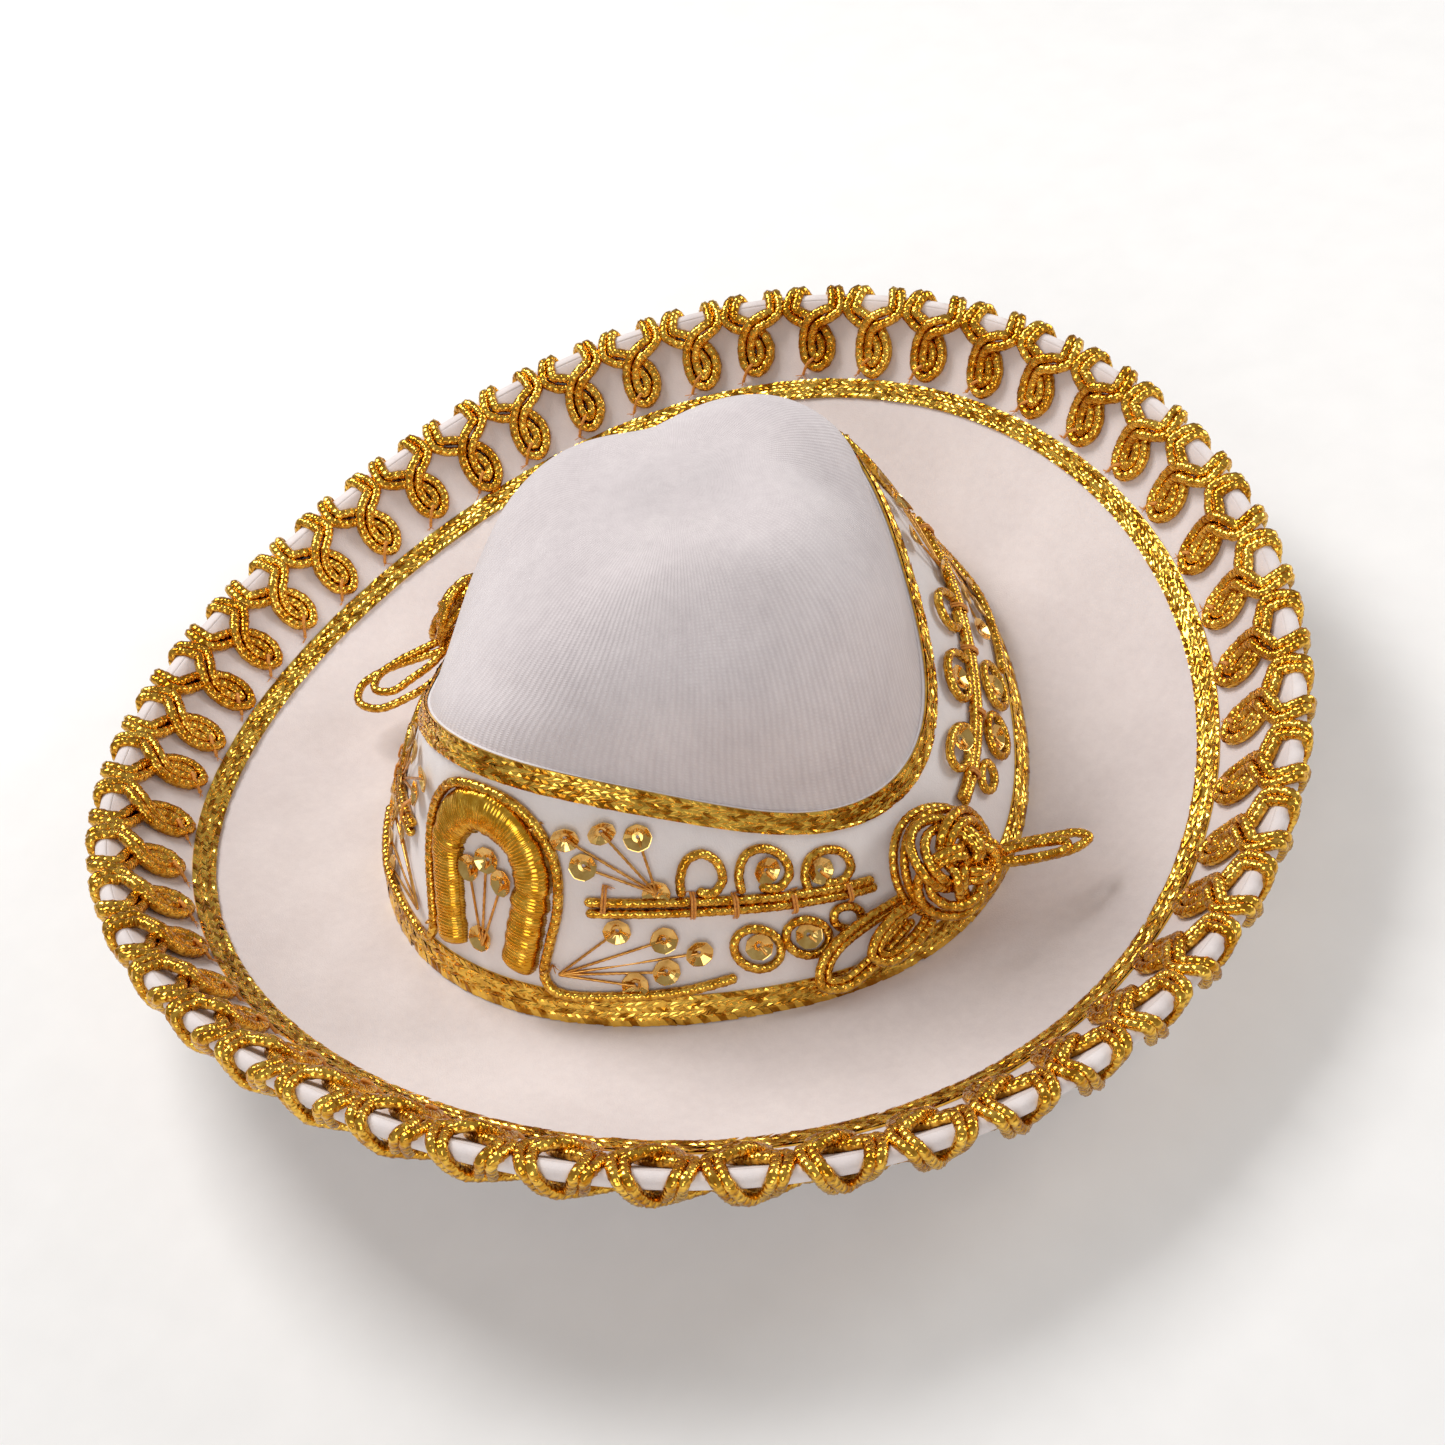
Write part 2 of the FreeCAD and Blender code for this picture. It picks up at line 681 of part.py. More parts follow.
def build_horseshoes(quarters, blank):
    band = size("band_thick")
    zone = ring_layer(crown, 2.0, BAND_END, band, band + size("horseshoe_thick"), 8)
    turn = Rotation(UP, 90 + size("horseshoe_angle"))
    front = Placement(ORIGIN, turn)
    for side, placement in (("front", front), ("back", HALF_TURN * front)):
        padding_zone = feature(side + "_padding_zone", zone)
        pad = doc.addObject("Part::Common", side + "_horseshoe_pad")
        pad.Base = padding_zone
        pad.Tool = horseshoe_body(side + "_horseshoe_blank", placement)
        keep(pad, side + "_horseshoe_pad")

    add_pair("front_horseshoe_cord", "back_horseshoe_cord", horseshoe_cord(quarters))

    near = quarters[0]
    places = [(-4.2, 0.52), (0.8, 0.58), (5.0, 0.51), (-0.5, 0.25)]
    pieces = []
    threads = []
    normal = near.frame(0.0, 0.45)[2]
    for across, up in places:
        pieces.append(place_sequin(blank, near.place(0.0, up, 0.7, across), normal))
    for across, up in places[:3]:
        start = near.place(0.0, 0.22, 1.6)
        threads.append(rod(start, near.place(0.0, up, 1.9, across), size("thread_diameter")))
    add_pair("front_horseshoe_sequins", "back_horseshoe_sequins", Part.makeCompound(pieces))
    add_pair("front_horseshoe_threads", "back_horseshoe_threads", Part.makeCompound(threads))


def build_quarters(quarters, blank):
    names = (("front_right", "back_left"), ("front_left", "back_right"))
    for quarter, sides in zip(quarters, names):
        groups = {
            "stem_cords": quarter.stems(),
            "upper_curls": quarter.upper_curls(),
            "lower_curls": quarter.lower_curls(),
            "sequins": quarter.sequins(blank),
            "fan_threads": quarter.threads(),
            "stitches": quarter.stitches(),
        }
        for group, solids in groups.items():
            labels = ["_".join((side, group)) for side in sides]
            add_pair(labels[0], labels[1], Part.makeCompound(solids))


# ---------------------------------------------------------------- knots and their loops

# The free loops behind each knot, in mm from the knot's middle: away from the hat, round the
# hat and up. The right pair is drawn tight, the left pair lies open.
RIGHT_TAILS = [
    [(4, 10, -6), (7.5, 17, -7), (12, 24, -8.5), (16, 29, -9), (19, 29.5, -9)]
    + [(19, 25, -9), (15.5, 18, -8), (9, 10, -7)],
    [(6.5, 10, -3), (9.5, 15.5, -4), (13, 20.5, -5), (16.5, 24, -6), (18, 22, -6)]
    + [(15.5, 16.5, -5), (10, 10, -4)],
]
LEFT_TAILS = [
    [(0, 10, -6), (5, 18, -6), (11, 26, -7), (13, 34, -7), (9, 39, -7), (2, 38, -7)]
    + [(-3, 31, -6), (-5, 21, -6)],
    [(3, 10, -3), (6, 17, -3), (9, 23, -4), (10, 30, -4), (7, 34, -4), (2, 32, -4)]
    + [(0, 26, -3), (-1, 18, -3)],
]


def knot_frame():
    angle = math.radians(size("knot_angle"))
    around, along, normal = crown.frame(angle, BAND_END * 0.47)
    lift = size("band_thick") + size("knot_deep") * 0.97
    centre = crown.point(angle, BAND_END * 0.47) + normal * lift
    return centre, around, along, normal


def build_knots(quarters):
    centre, around, along, normal = knot_frame()
    rotation = Rotation(around, along, normal, "ZXY")
    near = Placement(centre, rotation)
    for name, placement in (("right_knot", near), ("left_knot", HALF_TURN * near)):
        ball = doc.addObject("Part::Ellipsoid", name)
        ball.setExpression("Radius1", "Sizes.knot_deep")
        ball.setExpression("Radius2", "Sizes.knot_across")
        ball.setExpression("Radius3", "Sizes.knot_along")
        ball.Placement = placement
        keep(ball, name)

    diameter = size("cord_diameter")
    outward = Vector(normal.x, normal.y, 0).normalize()
    for side, routes, turned in (("right", RIGHT_TAILS, None), ("left", LEFT_TAILS, HALF_TURN)):
        loops = []
        for route in routes:
            points = [centre + outward * out + around * back + UP * up for out, back, up in route]
            loops.append(tube(points, diameter))
        add(side + "_tail_loops", Part.makeCompound(loops), turned)

    leaves = Part.makeCompound(quarters[0].leaf_loops())
    add_pair("right_leaf_loops", "left_leaf_loops", leaves)


# ---------------------------------------------------------------- build, check and write



build_brim()
build_crown()
build_band()
build_lacing()
front_to_right = Quarter(size("horseshoe_angle"), size("knot_angle"))
front_to_left = Quarter(size("horseshoe_angle"), size("knot_angle") - 180)
both = (front_to_right, front_to_left)
cup = sequin_blank()
build_horseshoes(both, cup)
build_quarters(both, cup)
build_knots(both)
doc.recompute()

for item in doc.Objects:
    if "Invalid" in item.State or "Error" in item.State:
        raise ValueError("%s failed: %s" % (item.Name, item.State))
for item in SUBPARTS:
    if item.Shape.isNull() or not item.Shape.isValid():
        raise ValueError(item.Label + " is not a valid shape")
for item in SUBPARTS:
    item.Shape.exportStep("parts/%s.step" % item.Label)
    print("%-26s %3d solids %10.1f mm3" % (item.Label, len(item.Shape.Solids), item.Shape.Volume))
print(len(SUBPARTS), "sub-parts")
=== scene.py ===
import math

import bmesh
import bpy
import numpy as np
from mathutils import Matrix, Vector


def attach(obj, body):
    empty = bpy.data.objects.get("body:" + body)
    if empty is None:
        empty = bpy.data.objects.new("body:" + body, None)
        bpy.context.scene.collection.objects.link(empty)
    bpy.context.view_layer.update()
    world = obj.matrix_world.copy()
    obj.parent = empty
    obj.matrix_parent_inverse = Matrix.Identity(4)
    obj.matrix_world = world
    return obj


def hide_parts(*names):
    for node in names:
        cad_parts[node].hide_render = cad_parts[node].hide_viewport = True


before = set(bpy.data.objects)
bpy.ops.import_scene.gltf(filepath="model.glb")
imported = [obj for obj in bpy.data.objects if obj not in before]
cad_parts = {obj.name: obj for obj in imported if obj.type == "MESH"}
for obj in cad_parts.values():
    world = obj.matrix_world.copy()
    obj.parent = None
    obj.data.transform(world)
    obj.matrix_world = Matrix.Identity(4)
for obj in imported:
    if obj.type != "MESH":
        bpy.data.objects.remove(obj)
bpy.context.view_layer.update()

dice = np.random.default_rng(7)

# Sizes below are in millimetres, as in the CAD, and turn to metres as each mesh is made.
MM = 0.001
TURN = 2 * math.pi
LIFT = 12.2
TOP_LEAN = np.array([11.5, 4.0])

# radius, oval, lobe, level, saddle, lean of each ring of the two surfaces
BRIM_RINGS = [
    (83.5, -3.0, 2.0, 0.0, 9.0, 0.0),
    (91.0, -3.0, 2.0, 0.3, 9.0, 0.0),
    (112.0, -2.0, 1.0, 4.0, 10.5, 0.0),
    (131.8, -0.3, -0.3, 12.7, 11.5, 0.0),
    (141.0, 0.7, -0.6, 21.3, 12.0, 0.0),
    (149.6, 1.8, -0.9, 31.6, 12.5, 0.0),
]
CROWN_RINGS = [
    (86.5, -3.0, 2.0, 0.3, 9.0, 0.0),
    (74.5, -1.5, 2.0, 24.5, 14.5, 0.0),
    (62.5, 0.5, 2.5, 48.5, 20.0, 0.0),
    (53.0, 0.0, 2.0, 72.5, 8.0, 0.5),
    (44.0, 0.0, 4.0, 84.0, 3.0, 0.75),
    (29.0, 0.0, 4.0, 94.5, 0.0, 0.95),
    (9.0, 0.0, 0.0, 97.0, 0.0, 1.0),
]
VELVET = 0.8
BOARD = 2.0
BRIM_DEPTH = 4.2
EDGE_ROLL = 2.3
CROWN_DEPTH = 3.0
LINING = 0.7
SWEATBAND = 1.2
SWEATBAND_WIDTH = 24.0
BAND = 1.2
RIBBON = 1.0
RIBBON_WIDTH = 6.0
LACE = 3.0
LACE_UNITS = 48
CORD = 2.4
OUTLINE = 2.6
SEQUIN = 3.4
HORSESHOE_ANGLE = math.radians(-88.5)
KNOT_ANGLE = math.radians(-7.0)

# Points round the hat in one ring of a skin, and the mean radius its cloth map is wrapped on.
RING_COLUMNS = 480
CROWN_COLUMNS = 420
LINING_COLUMNS = 288
CROWN_MAP_RADIUS = 60.0


# ---- camera, stage and light


def build_camera():
    """The photograph's view: 54.5 mm lens, 45 degrees up, turned 46 degrees and rolled."""
    around = math.radians(45.9)
    above = math.radians(45.3)
    roll = math.radians(15.0)
    back = Vector((math.sin(around) * math.cos(above), -math.cos(around) * math.cos(above), math.sin(above)))
    level = Vector((math.cos(around), math.sin(around), 0))
    upright = back.cross(level)
    right = level * math.cos(roll) - upright * math.sin(roll)
    up = upright * math.cos(roll) + level * math.sin(roll)
    lens = bpy.data.cameras.new("camera")
    lens.lens = 54.5
    lens.sensor_width = 36.0
    lens.shift_x = 0.0147
    lens.shift_y = 0.0289
    camera = bpy.data.objects.new("camera", lens)
    distance = 0.581
    place = Vector((0, 0, LIFT * MM)) + back * distance
    camera.matrix_world = Matrix.Translation(place) @ Matrix((right, up, back)).transposed().to_4x4()
    bpy.context.scene.collection.objects.link(camera)
    bpy.context.scene.camera = camera


def area_light(name, place, size, power, colour):
    """A square light, aimed at the middle of the hat."""
    lamp = bpy.data.lights.new(name, "AREA")
    lamp.size = size
    lamp.energy = power
    lamp.color = colour
    light = bpy.data.objects.new(name, lamp)
    light.location = place
    light.rotation_euler = (Vector((0, 0, 0.04)) - light.location).to_track_quat("-Z", "Y").to_euler()
    bpy.context.scene.collection.objects.link(light)


def build_studio():
    """Pale even room, three soft lights and a pale floor."""
    world = bpy.data.worlds.new("studio")
    world.use_nodes = True
    sky = world.node_tree.nodes["Background"]
    sky.inputs["Color"].default_value = (1.0, 0.985, 0.97, 1)
    sky.inputs["Strength"].default_value = 0.36
    bpy.context.scene.world = world
    bpy.context.scene.view_settings.view_transform = "Standard"
    area_light("key", (-0.62, 0.10, 0.85), 0.45, 8.0, (1.0, 0.985, 0.97))
    area_light("fill", (0.55, -0.85, 0.60), 0.6, 3.6, (1.0, 0.985, 0.975))
    area_light("back", (0.55, 0.75, 0.45), 0.4, 3.2, (1.0, 0.99, 0.98))

    floor_mesh = bpy.data.meshes.new("floor")
    reach = 6.0
    corners = [(-reach, -reach, 0), (reach, -reach, 0), (reach, reach, 0), (-reach, reach, 0)]
    floor_mesh.from_pydata(corners, [], [(0, 1, 2, 3)])
    floor = bpy.data.objects.new("floor", floor_mesh)
    bpy.context.scene.collection.objects.link(floor)
    floor_mesh.materials.append(plain_material("floor_paint", (0.88, 0.875, 0.87), 0.9))


# ---- materials


class Shader:
    """A node material built step by step round one Principled shader."""

    def __init__(self, name):
        self.material = bpy.data.materials.new(name)
        self.material.use_nodes = True
        self.nodes = self.material.node_tree.nodes
        self.links = self.material.node_tree.links
        self.surface = self.nodes["Principled BSDF"]

    def set(self, **values):
        for name, value in values.items():
            self.surface.inputs[name.replace("_", " ")].default_value = value

    def node(self, kind, inputs=None, **settings):
        item = self.nodes.new(kind)
        for name, value in settings.items():
            setattr(item, name, value)
        for name, value in (inputs or {}).items():
            self.feed(item.inputs[name], value)
        return item

    def feed(self, socket, value):
        if isinstance(value, bpy.types.NodeSocket):
            self.links.new(value, socket)
        else:
            socket.default_value = value

    def coordinates(self, kind="Object"):
        return self.node("ShaderNodeTexCoord").outputs[kind]

    def scaled(self, vector, scale):
        return self.node("ShaderNodeVectorMath", {0: vector, 1: scale}, operation="MULTIPLY").outputs[0]

    def math(self, operation, first, second=0.0):
        return self.node("ShaderNodeMath", {0: first, 1: second}, operation=operation).outputs[0]

    def plus(self, first, second):
        return self.math("ADD", first, second)

    def times(self, first, second):
        return self.math("MULTIPLY", first, second)

    def wave(self, direction, scale, distortion, detail=2.0):
        """Soft bands over the map: X bands lie across the hat, Y bands round it."""
        inputs = {"Vector": self.coordinates("UV"), "Scale": scale}
        inputs.update({"Distortion": distortion, "Detail": detail})
        return self.node("ShaderNodeTexWave", inputs, bands_direction=direction).outputs["Fac"]

    def noise(self, vector, scale, detail=2.0, roughness=0.5):
        inputs = {"Vector": vector, "Scale": scale, "Detail": detail, "Roughness": roughness}
        return self.node("ShaderNodeTexNoise", inputs).outputs["Fac"]

    def ramp(self, factor, *stops):
        item = self.node("ShaderNodeValToRGB", {"Fac": factor})
        elements = item.color_ramp.elements
        while len(elements) < len(stops):
            elements.new(0.5)
        for element, (place, colour) in zip(elements, stops):
            element.position = place
            element.color = (*colour, 1.0)
        return item.outputs["Color"]

    def mix(self, factor, first, second):
        item = self.node("ShaderNodeMix", data_type="RGBA")
        self.feed(item.inputs[0], factor)
        self.feed(item.inputs[6], first)
        self.feed(item.inputs[7], second)
        return item.outputs[2]

    def bump(self, height, strength, distance):
        inputs = {"Height": height, "Strength": strength, "Distance": distance}
        return self.node("ShaderNodeBump", inputs).outputs["Normal"]

    def finish(self, colour=None, roughness=None, normal=None):
        if colour is not None:
            self.feed(self.surface.inputs["Base Color"], colour)
        if roughness is not None:
            self.feed(self.surface.inputs["Roughness"], roughness)
        if normal is not None:
            self.links.new(normal, self.surface.inputs["Normal"])
        return self.material


def plain_material(name, colour, roughness):
    """Faintly mottled matt paint, for the stage and the pieces hidden inside."""
    shader = Shader(name)
    spots = shader.noise(shader.coordinates(), 60.0, 3.0)
    dark = tuple(part * 0.97 for part in colour)
    return shader.finish(shader.ramp(spots, (0.3, dark), (0.7, colour)), roughness)


def velvet_material(name, light, shade, wales):
    """Short pile: fine grain, slow patches where the pile leans, and knit wales if it is knitted."""
    shader = Shader(name)
    place = shader.coordinates()
    patches = shader.noise(place, 26.0, 4.0, 0.6)
    brushed = shader.noise(shader.scaled(place, (1.0, 1.0, 0.25)), 420.0, 3.0, 0.6)
    grain = shader.noise(place, 2600.0, 2.0, 0.6)
    tone = shader.plus(shader.times(patches, 0.6), shader.times(brushed, 0.25))
    tone = shader.plus(tone, shader.times(grain, 0.15))
    colour = shader.ramp(tone, (0.36, shade), (0.62, light))
    height = grain
    if wales:
        wave = shader.wave("X", 0.2, 0.6)
        stitch = shader.wave("Y", 0.42, 0.4, 1.0)
        weave = shader.times(wave, shader.plus(shader.times(stitch, 0.5), 0.5))
        height = shader.plus(weave, shader.times(grain, 0.5))
        # Painted highlight: the raised wales are mixed towards near white.
        colour = shader.mix(shader.times(weave, 0.16), colour, (1.0, 0.98, 0.97, 1.0))
    shader.set(Sheen_Weight=0.35, Sheen_Roughness=0.4, Specular_IOR_Level=0.12)
    normal = shader.bump(height, 0.5 if wales else 0.35, 0.00025)
    return shader.finish(colour, 0.85, normal)


def cloth_material(name, colour, threads, rib=1.0):
    """Plain weave. rib under 1 widens the weft to ribs that run round the hat, as on grosgrain."""
    shader = Shader(name)
    warp = shader.wave("X", threads, 0.3)
    weft = shader.wave("Y", threads * rib, 0.3)
    weave = shader.times(warp, weft)
    # Painted shade: the cloth darkens towards dark where the threads dip between warp and weft; a faint
    # random mottle is mixed in.
    dark = tuple(part * 0.8 for part in colour)
    tone = shader.plus(weave, shader.times(shader.noise(shader.coordinates(), 90.0), 0.4))
    shader.set(Sheen_Weight=0.15, Specular_IOR_Level=0.2)
    return shader.finish(shader.ramp(tone, (0.1, dark), (0.8, colour)), 0.8, shader.bump(weave, 0.5, 0.0002))


def foil_material(name, glint, dark, roughness, relief, plait=0.0, glint_scatter=0.15):
    """Metallised foil, its colour a painted reflection: noise of worn spots and a random tone per loose
    strand run it from glint, the bright gold, to dark, a painted dark reflection, and the gaps of a plait
    get painted shade. plait is the length in mm of one crossing of a braided cord's strands, and
    scatter is how far the painted reflection tone changes from one loose strand to the next."""
    shader = Shader(name)
    place = shader.coordinates()
    island = shader.node("ShaderNodeNewGeometry").outputs["Random Per Island"]
    # Noise of worn spots: it roughens the foil and, with a random shift per loose strand, sets the painted
    # reflection tone.
    wear_and_glints = shader.noise(place, 420.0, 3.0, 0.6)
    spread = shader.times(island, glint_scatter)
    tone = shader.plus(spread, shader.times(wear_and_glints, 0.9))
    # Painted reflection: the colour runs from dark, a painted dark reflection, to glint, the bright gold.
    colour = shader.ramp(tone, (0.34 + glint_scatter * 0.3, dark), (0.6 + glint_scatter * 0.5, glint))
    shader.set(Metallic=1.0)
    rough = shader.plus(shader.times(wear_and_glints, 0.12), roughness)
    height = shader.noise(place, 700.0, 1.0, 0.5)
    if plait:
        strands = plait_height(shader, plait)
        # Painted shade in the gaps between the plait's strands, mixed towards dark.
        strand_gap_shade = shader.math("SUBTRACT", 1.0, strands)
        colour = shader.mix(shader.times(strand_gap_shade, 0.75), colour, (*dark, 1.0))
        height = shader.plus(shader.times(strands, 4.0), height)
    return shader.finish(colour, rough, shader.bump(height, relief, 0.0001))


def plait_height(shader, plait):
    """Two families of strands that slant across each other round the cord."""
    parts = shader.node("ShaderNodeSeparateXYZ", {"Vector": shader.coordinates("UV")}).outputs
    along = shader.times(parts["X"], math.pi / plait)
    around = shader.times(parts["Y"], TURN)
    rising = shader.math("ABSOLUTE", shader.math("SINE", shader.plus(along, around)))
    falling = shader.math("ABSOLUTE", shader.math("SINE", shader.math("SUBTRACT", along, around)))
    return shader.math("MAXIMUM", rising, falling)


def thread_material(name, colour, dark):
    """Twisted rayon thread with a soft shine."""
    shader = Shader(name)
    fibres = shader.noise(shader.coordinates(), 1800.0, 3.0)
    shader.set(Sheen_Weight=0.2, Specular_IOR_Level=0.6)
    tone = shader.ramp(fibres, (0.3, dark), (0.7, colour))
    return shader.finish(tone, 0.45, shader.bump(fibres, 0.4, 0.0001))


def wire_material():
    """Dull drawn steel."""
    shader = Shader("steel_wire")
    scratches = shader.noise(shader.coordinates(), 500.0, 4.0)
    shader.set(Metallic=1.0)
    rough = shader.plus(shader.times(scratches, 0.2), 0.3)
    return shader.finish(shader.ramp(scratches, (0.3, (0.4, 0.4, 0.41)), (0.7, (0.6, 0.6, 0.61))), rough)


# ---- the two surfaces


def unit(vectors):
    """The same directions, one mm long."""
    return vectors / np.linalg.norm(vectors, axis=-1, keepdims=True)


class RingSurface:
    """A surface of rings, with the same stations and interpolation as the CAD."""

    def __init__(self, rings, side, foot_normal):
        self.table = np.array(rings)
        steps = np.hypot(np.diff(self.table[:, 0]), np.diff(self.table[:, 3]))
        self.at = np.concatenate([[0.0], np.cumsum(steps)])
        self.end = self.at[-1]
        self.side = side
        self.foot_normal = foot_normal
        last = len(self.at) - 1
        before = np.maximum(np.arange(last + 1) - 1, 0)
        after = np.minimum(np.arange(last + 1) + 1, last)
        spans = (self.at[after] - self.at[before])[:, None]
        self.slopes = (self.table[after] - self.table[before]) / spans

    def profile(self, distance):
        distance = np.asarray(distance, float)
        index = np.clip(np.searchsorted(self.at, distance) - 1, 0, len(self.at) - 2)
        span = self.at[index + 1] - self.at[index]
        part = ((distance - self.at[index]) / span)[..., None]
        span = span[..., None]
        low = 1 - 3 * part ** 2 + 2 * part ** 3
        value = self.table[index] * low + self.table[index + 1] * (1 - low)
        value = value + self.slopes[index] * (part - 2 * part ** 2 + part ** 3) * span
        return value + self.slopes[index + 1] * (part ** 3 - part ** 2) * span

    def point(self, angle, distance, offset=0.0):
        """Points moved off the surface along the mean profile's normal, as the CAD layers are."""
        angle, distance, offset = np.broadcast_arrays(angle, distance, offset)
        values = self.profile(distance)
        inside = np.clip(distance, 0.0, self.end)
        ahead = self.profile(np.minimum(inside + 0.1, self.end))
        behind = self.profile(np.maximum(inside - 0.1, 0.0))
        run = ahead[..., 0] - behind[..., 0]
        rise = ahead[..., 3] - behind[..., 3]
        length = np.hypot(run, rise)
        at_foot = distance < 0.05
        out = np.where(at_foot, self.foot_normal[0], self.side * rise / length)
        up = np.where(at_foot, self.foot_normal[1], -self.side * run / length)
        wave = np.cos(2 * angle)
        reach = values[..., 0] + values[..., 1] * wave + values[..., 2] * np.cos(4 * angle) + offset * out
        height = values[..., 3] - values[..., 4] * wave + offset * up + LIFT
        lean = values[..., 5]
        x = reach * np.cos(angle) + TOP_LEAN[0] * lean
        y = reach * np.sin(angle) + TOP_LEAN[1] * lean
        return np.stack([x, y, height], -1)

    def frame(self, angle, distance):
        """Unit vectors round the hat, up the profile and out of the surface."""
        around = unit(self.point(angle + 0.01, distance) - self.point(angle - 0.01, distance))
        low = np.clip(np.asarray(distance, float) - 0.5, 0.06, self.end - 1.1)
        along = unit(self.point(angle, low + 1.0) - self.point(angle, low))
        return around, along, unit(np.cross(around, along) * self.side)

    def lay(self, angle, distance, offset, across=0.0):
        """Points at a true height above the surface, moved round the hat by across mm."""
        start = self.point(angle, distance)
        moved = angle + across / np.hypot(start[..., 0], start[..., 1])
        return self.point(moved, distance) + self.frame(moved, distance)[2] * np.asarray(offset)[..., None]


crown = RingSurface(CROWN_RINGS, 1, (1.0, 0.0))
brim = RingSurface(BRIM_RINGS, -1, (0.0, 1.0))
BAND_END = crown.at[2]
BRIM_TURN = brim.at[3]


# ---- mesh helpers


class MeshMaker:
    """Gathers grids and caps, then makes one object of them."""

    def __init__(self):
        self.points = []
        self.faces = []
        self.uvs = []
        self.count = 0

    def grid(self, points, uv, wrap_rows=False, wrap_columns=False):
        """Quads over rows x columns of points. uv has one more row or column where it wraps."""
        rows, columns = points.shape[:2]
        index = np.arange(rows * columns).reshape(rows, columns) + self.count
        if wrap_rows:
            index = np.vstack([index, index[:1]])
        if wrap_columns:
            index = np.hstack([index, index[:, :1]])
        corners = [index[:-1, :-1], index[1:, :-1], index[1:, 1:], index[:-1, 1:]]
        maps = [uv[:-1, :-1], uv[1:, :-1], uv[1:, 1:], uv[:-1, 1:]]
        self.faces += np.stack(corners, -1).reshape(-1, 4).tolist()
        self.uvs.append(np.stack(maps, 2).reshape(-1, 2))
        self.points.append(points.reshape(-1, 3))
        self.count += rows * columns
        return index

    def face(self, indices, uv=None):
        self.faces.append([int(index) for index in indices])
        self.uvs.append(np.zeros((len(indices), 2)) if uv is None else np.array(uv))

    def close_ends(self, index):
        """Flat ends for a tube: the first and the last ring of its grid."""
        self.face(index[0, :-1][::-1])
        self.face(index[-1, :-1])

    def turn_back(self):
        """Turn everything half round the hat, from one side to the other."""
        self.points = [points * np.array([-1.0, -1.0, 1.0]) for points in self.points]

    def build(self, name, material, nodes, smooth=True, fix_normals=True):
        """One object of everything gathered, which takes the place of the CAD nodes."""
        mesh = bpy.data.meshes.new(name)
        mesh.from_pydata(np.concatenate(self.points) * MM, [], self.faces)
        layer = mesh.uv_layers.new(name="millimetres")
        layer.data.foreach_set("uv", np.concatenate(self.uvs).ravel())
        mesh.materials.append(material)
        mesh.polygons.foreach_set("use_smooth", [smooth] * len(mesh.polygons))
        if fix_normals:
            outward_normals(mesh)
        piece = bpy.data.objects.new(name, mesh)
        bpy.context.scene.collection.objects.link(piece)
        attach(piece, "root")
        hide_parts(*nodes)
        return piece


def outward_normals(mesh):
    """Turn every face outwards, whichever way its grid was laid."""
    work = bmesh.new()
    work.from_mesh(mesh)
    bmesh.ops.recalc_face_normals(work, faces=work.faces)
    work.to_mesh(mesh)
    work.free()


def smooth_path(points, step, closed=False):
    """Even samples along a centripetal Catmull-Rom curve through the points."""
    points = np.asarray(points, float)
    if closed:
        padded = np.vstack([points[-1:], points, points[:2]])
    else:
        padded = np.vstack([2 * points[0] - points[1], points, 2 * points[-1] - points[-2]])
    pieces = []
    for first, second, third, fourth in zip(padded, padded[1:], padded[2:], padded[3:]):
        spans = ((first, second), (second, third), (third, fourth))
        gaps = [np.linalg.norm(b - a) ** 0.5 + 1e-9 for a, b in spans]
        times = np.cumsum([0.0] + gaps)
        t = np.linspace(times[1], times[2], 24, endpoint=False)[:, None]
        a1 = (times[1] - t) / gaps[0] * first + (t - times[0]) / gaps[0] * second
        a2 = (times[2] - t) / gaps[1] * second + (t - times[1]) / gaps[1] * third
        a3 = (times[3] - t) / gaps[2] * third + (t - times[2]) / gaps[2] * fourth
        b1 = (times[2] - t) / (times[2] - times[0]) * a1 + (t - times[0]) / (times[2] - times[0]) * a2
        b2 = (times[3] - t) / (times[3] - times[1]) * a2 + (t - times[1]) / (times[3] - times[1]) * a3
        pieces.append((times[2] - t) / gaps[1] * b1 + (t - times[1]) / gaps[1] * b2)
    curve = np.vstack(pieces + [padded[-2:-1]])
    return even_steps(curve, step)


def even_steps(curve, step):
    """The curve sampled again at even steps of about this length."""
    lengths = np.concatenate([[0.0], np.cumsum(np.linalg.norm(np.diff(curve, axis=0), axis=1))])
    count = max(int(round(lengths[-1] / step)), 4)
    wanted = np.linspace(0, lengths[-1], count + 1)
    return np.stack([np.interp(wanted, lengths, curve[:, axis]) for axis in range(curve.shape[1])], 1)


def travelling_frames(path, closed=False):
    """Tangent and two side vectors that turn as little as they can along the path."""
    if closed:
        tangents = np.roll(path, -1, 0) - np.roll(path, 1, 0)
    else:
        tangents = np.gradient(path, axis=0)
    tangents = unit(tangents)
    side = unit(np.cross(tangents[0], (0.13, 0.27, 0.95)))
    sides = [side]
    for tangent in tangents[1:]:
        side = unit(side - tangent * np.dot(side, tangent))
        sides.append(side)
    sides = np.array(sides)
    if closed:
        twist = closing_twist(tangents[0], sides[0], sides[-1])
        angles = np.linspace(0, twist, len(path))[:, None]
        sides = sides * np.cos(angles) + np.cross(tangents, sides) * np.sin(angles)
    return tangents, sides, np.cross(tangents, sides)


def closing_twist(tangent, first, last):
    """Angle about the tangent from the last side vector of a closed path to its first."""
    flat = last - tangent * np.dot(last, tangent)
    return math.atan2(np.dot(np.cross(flat, first), tangent), np.dot(flat, first))


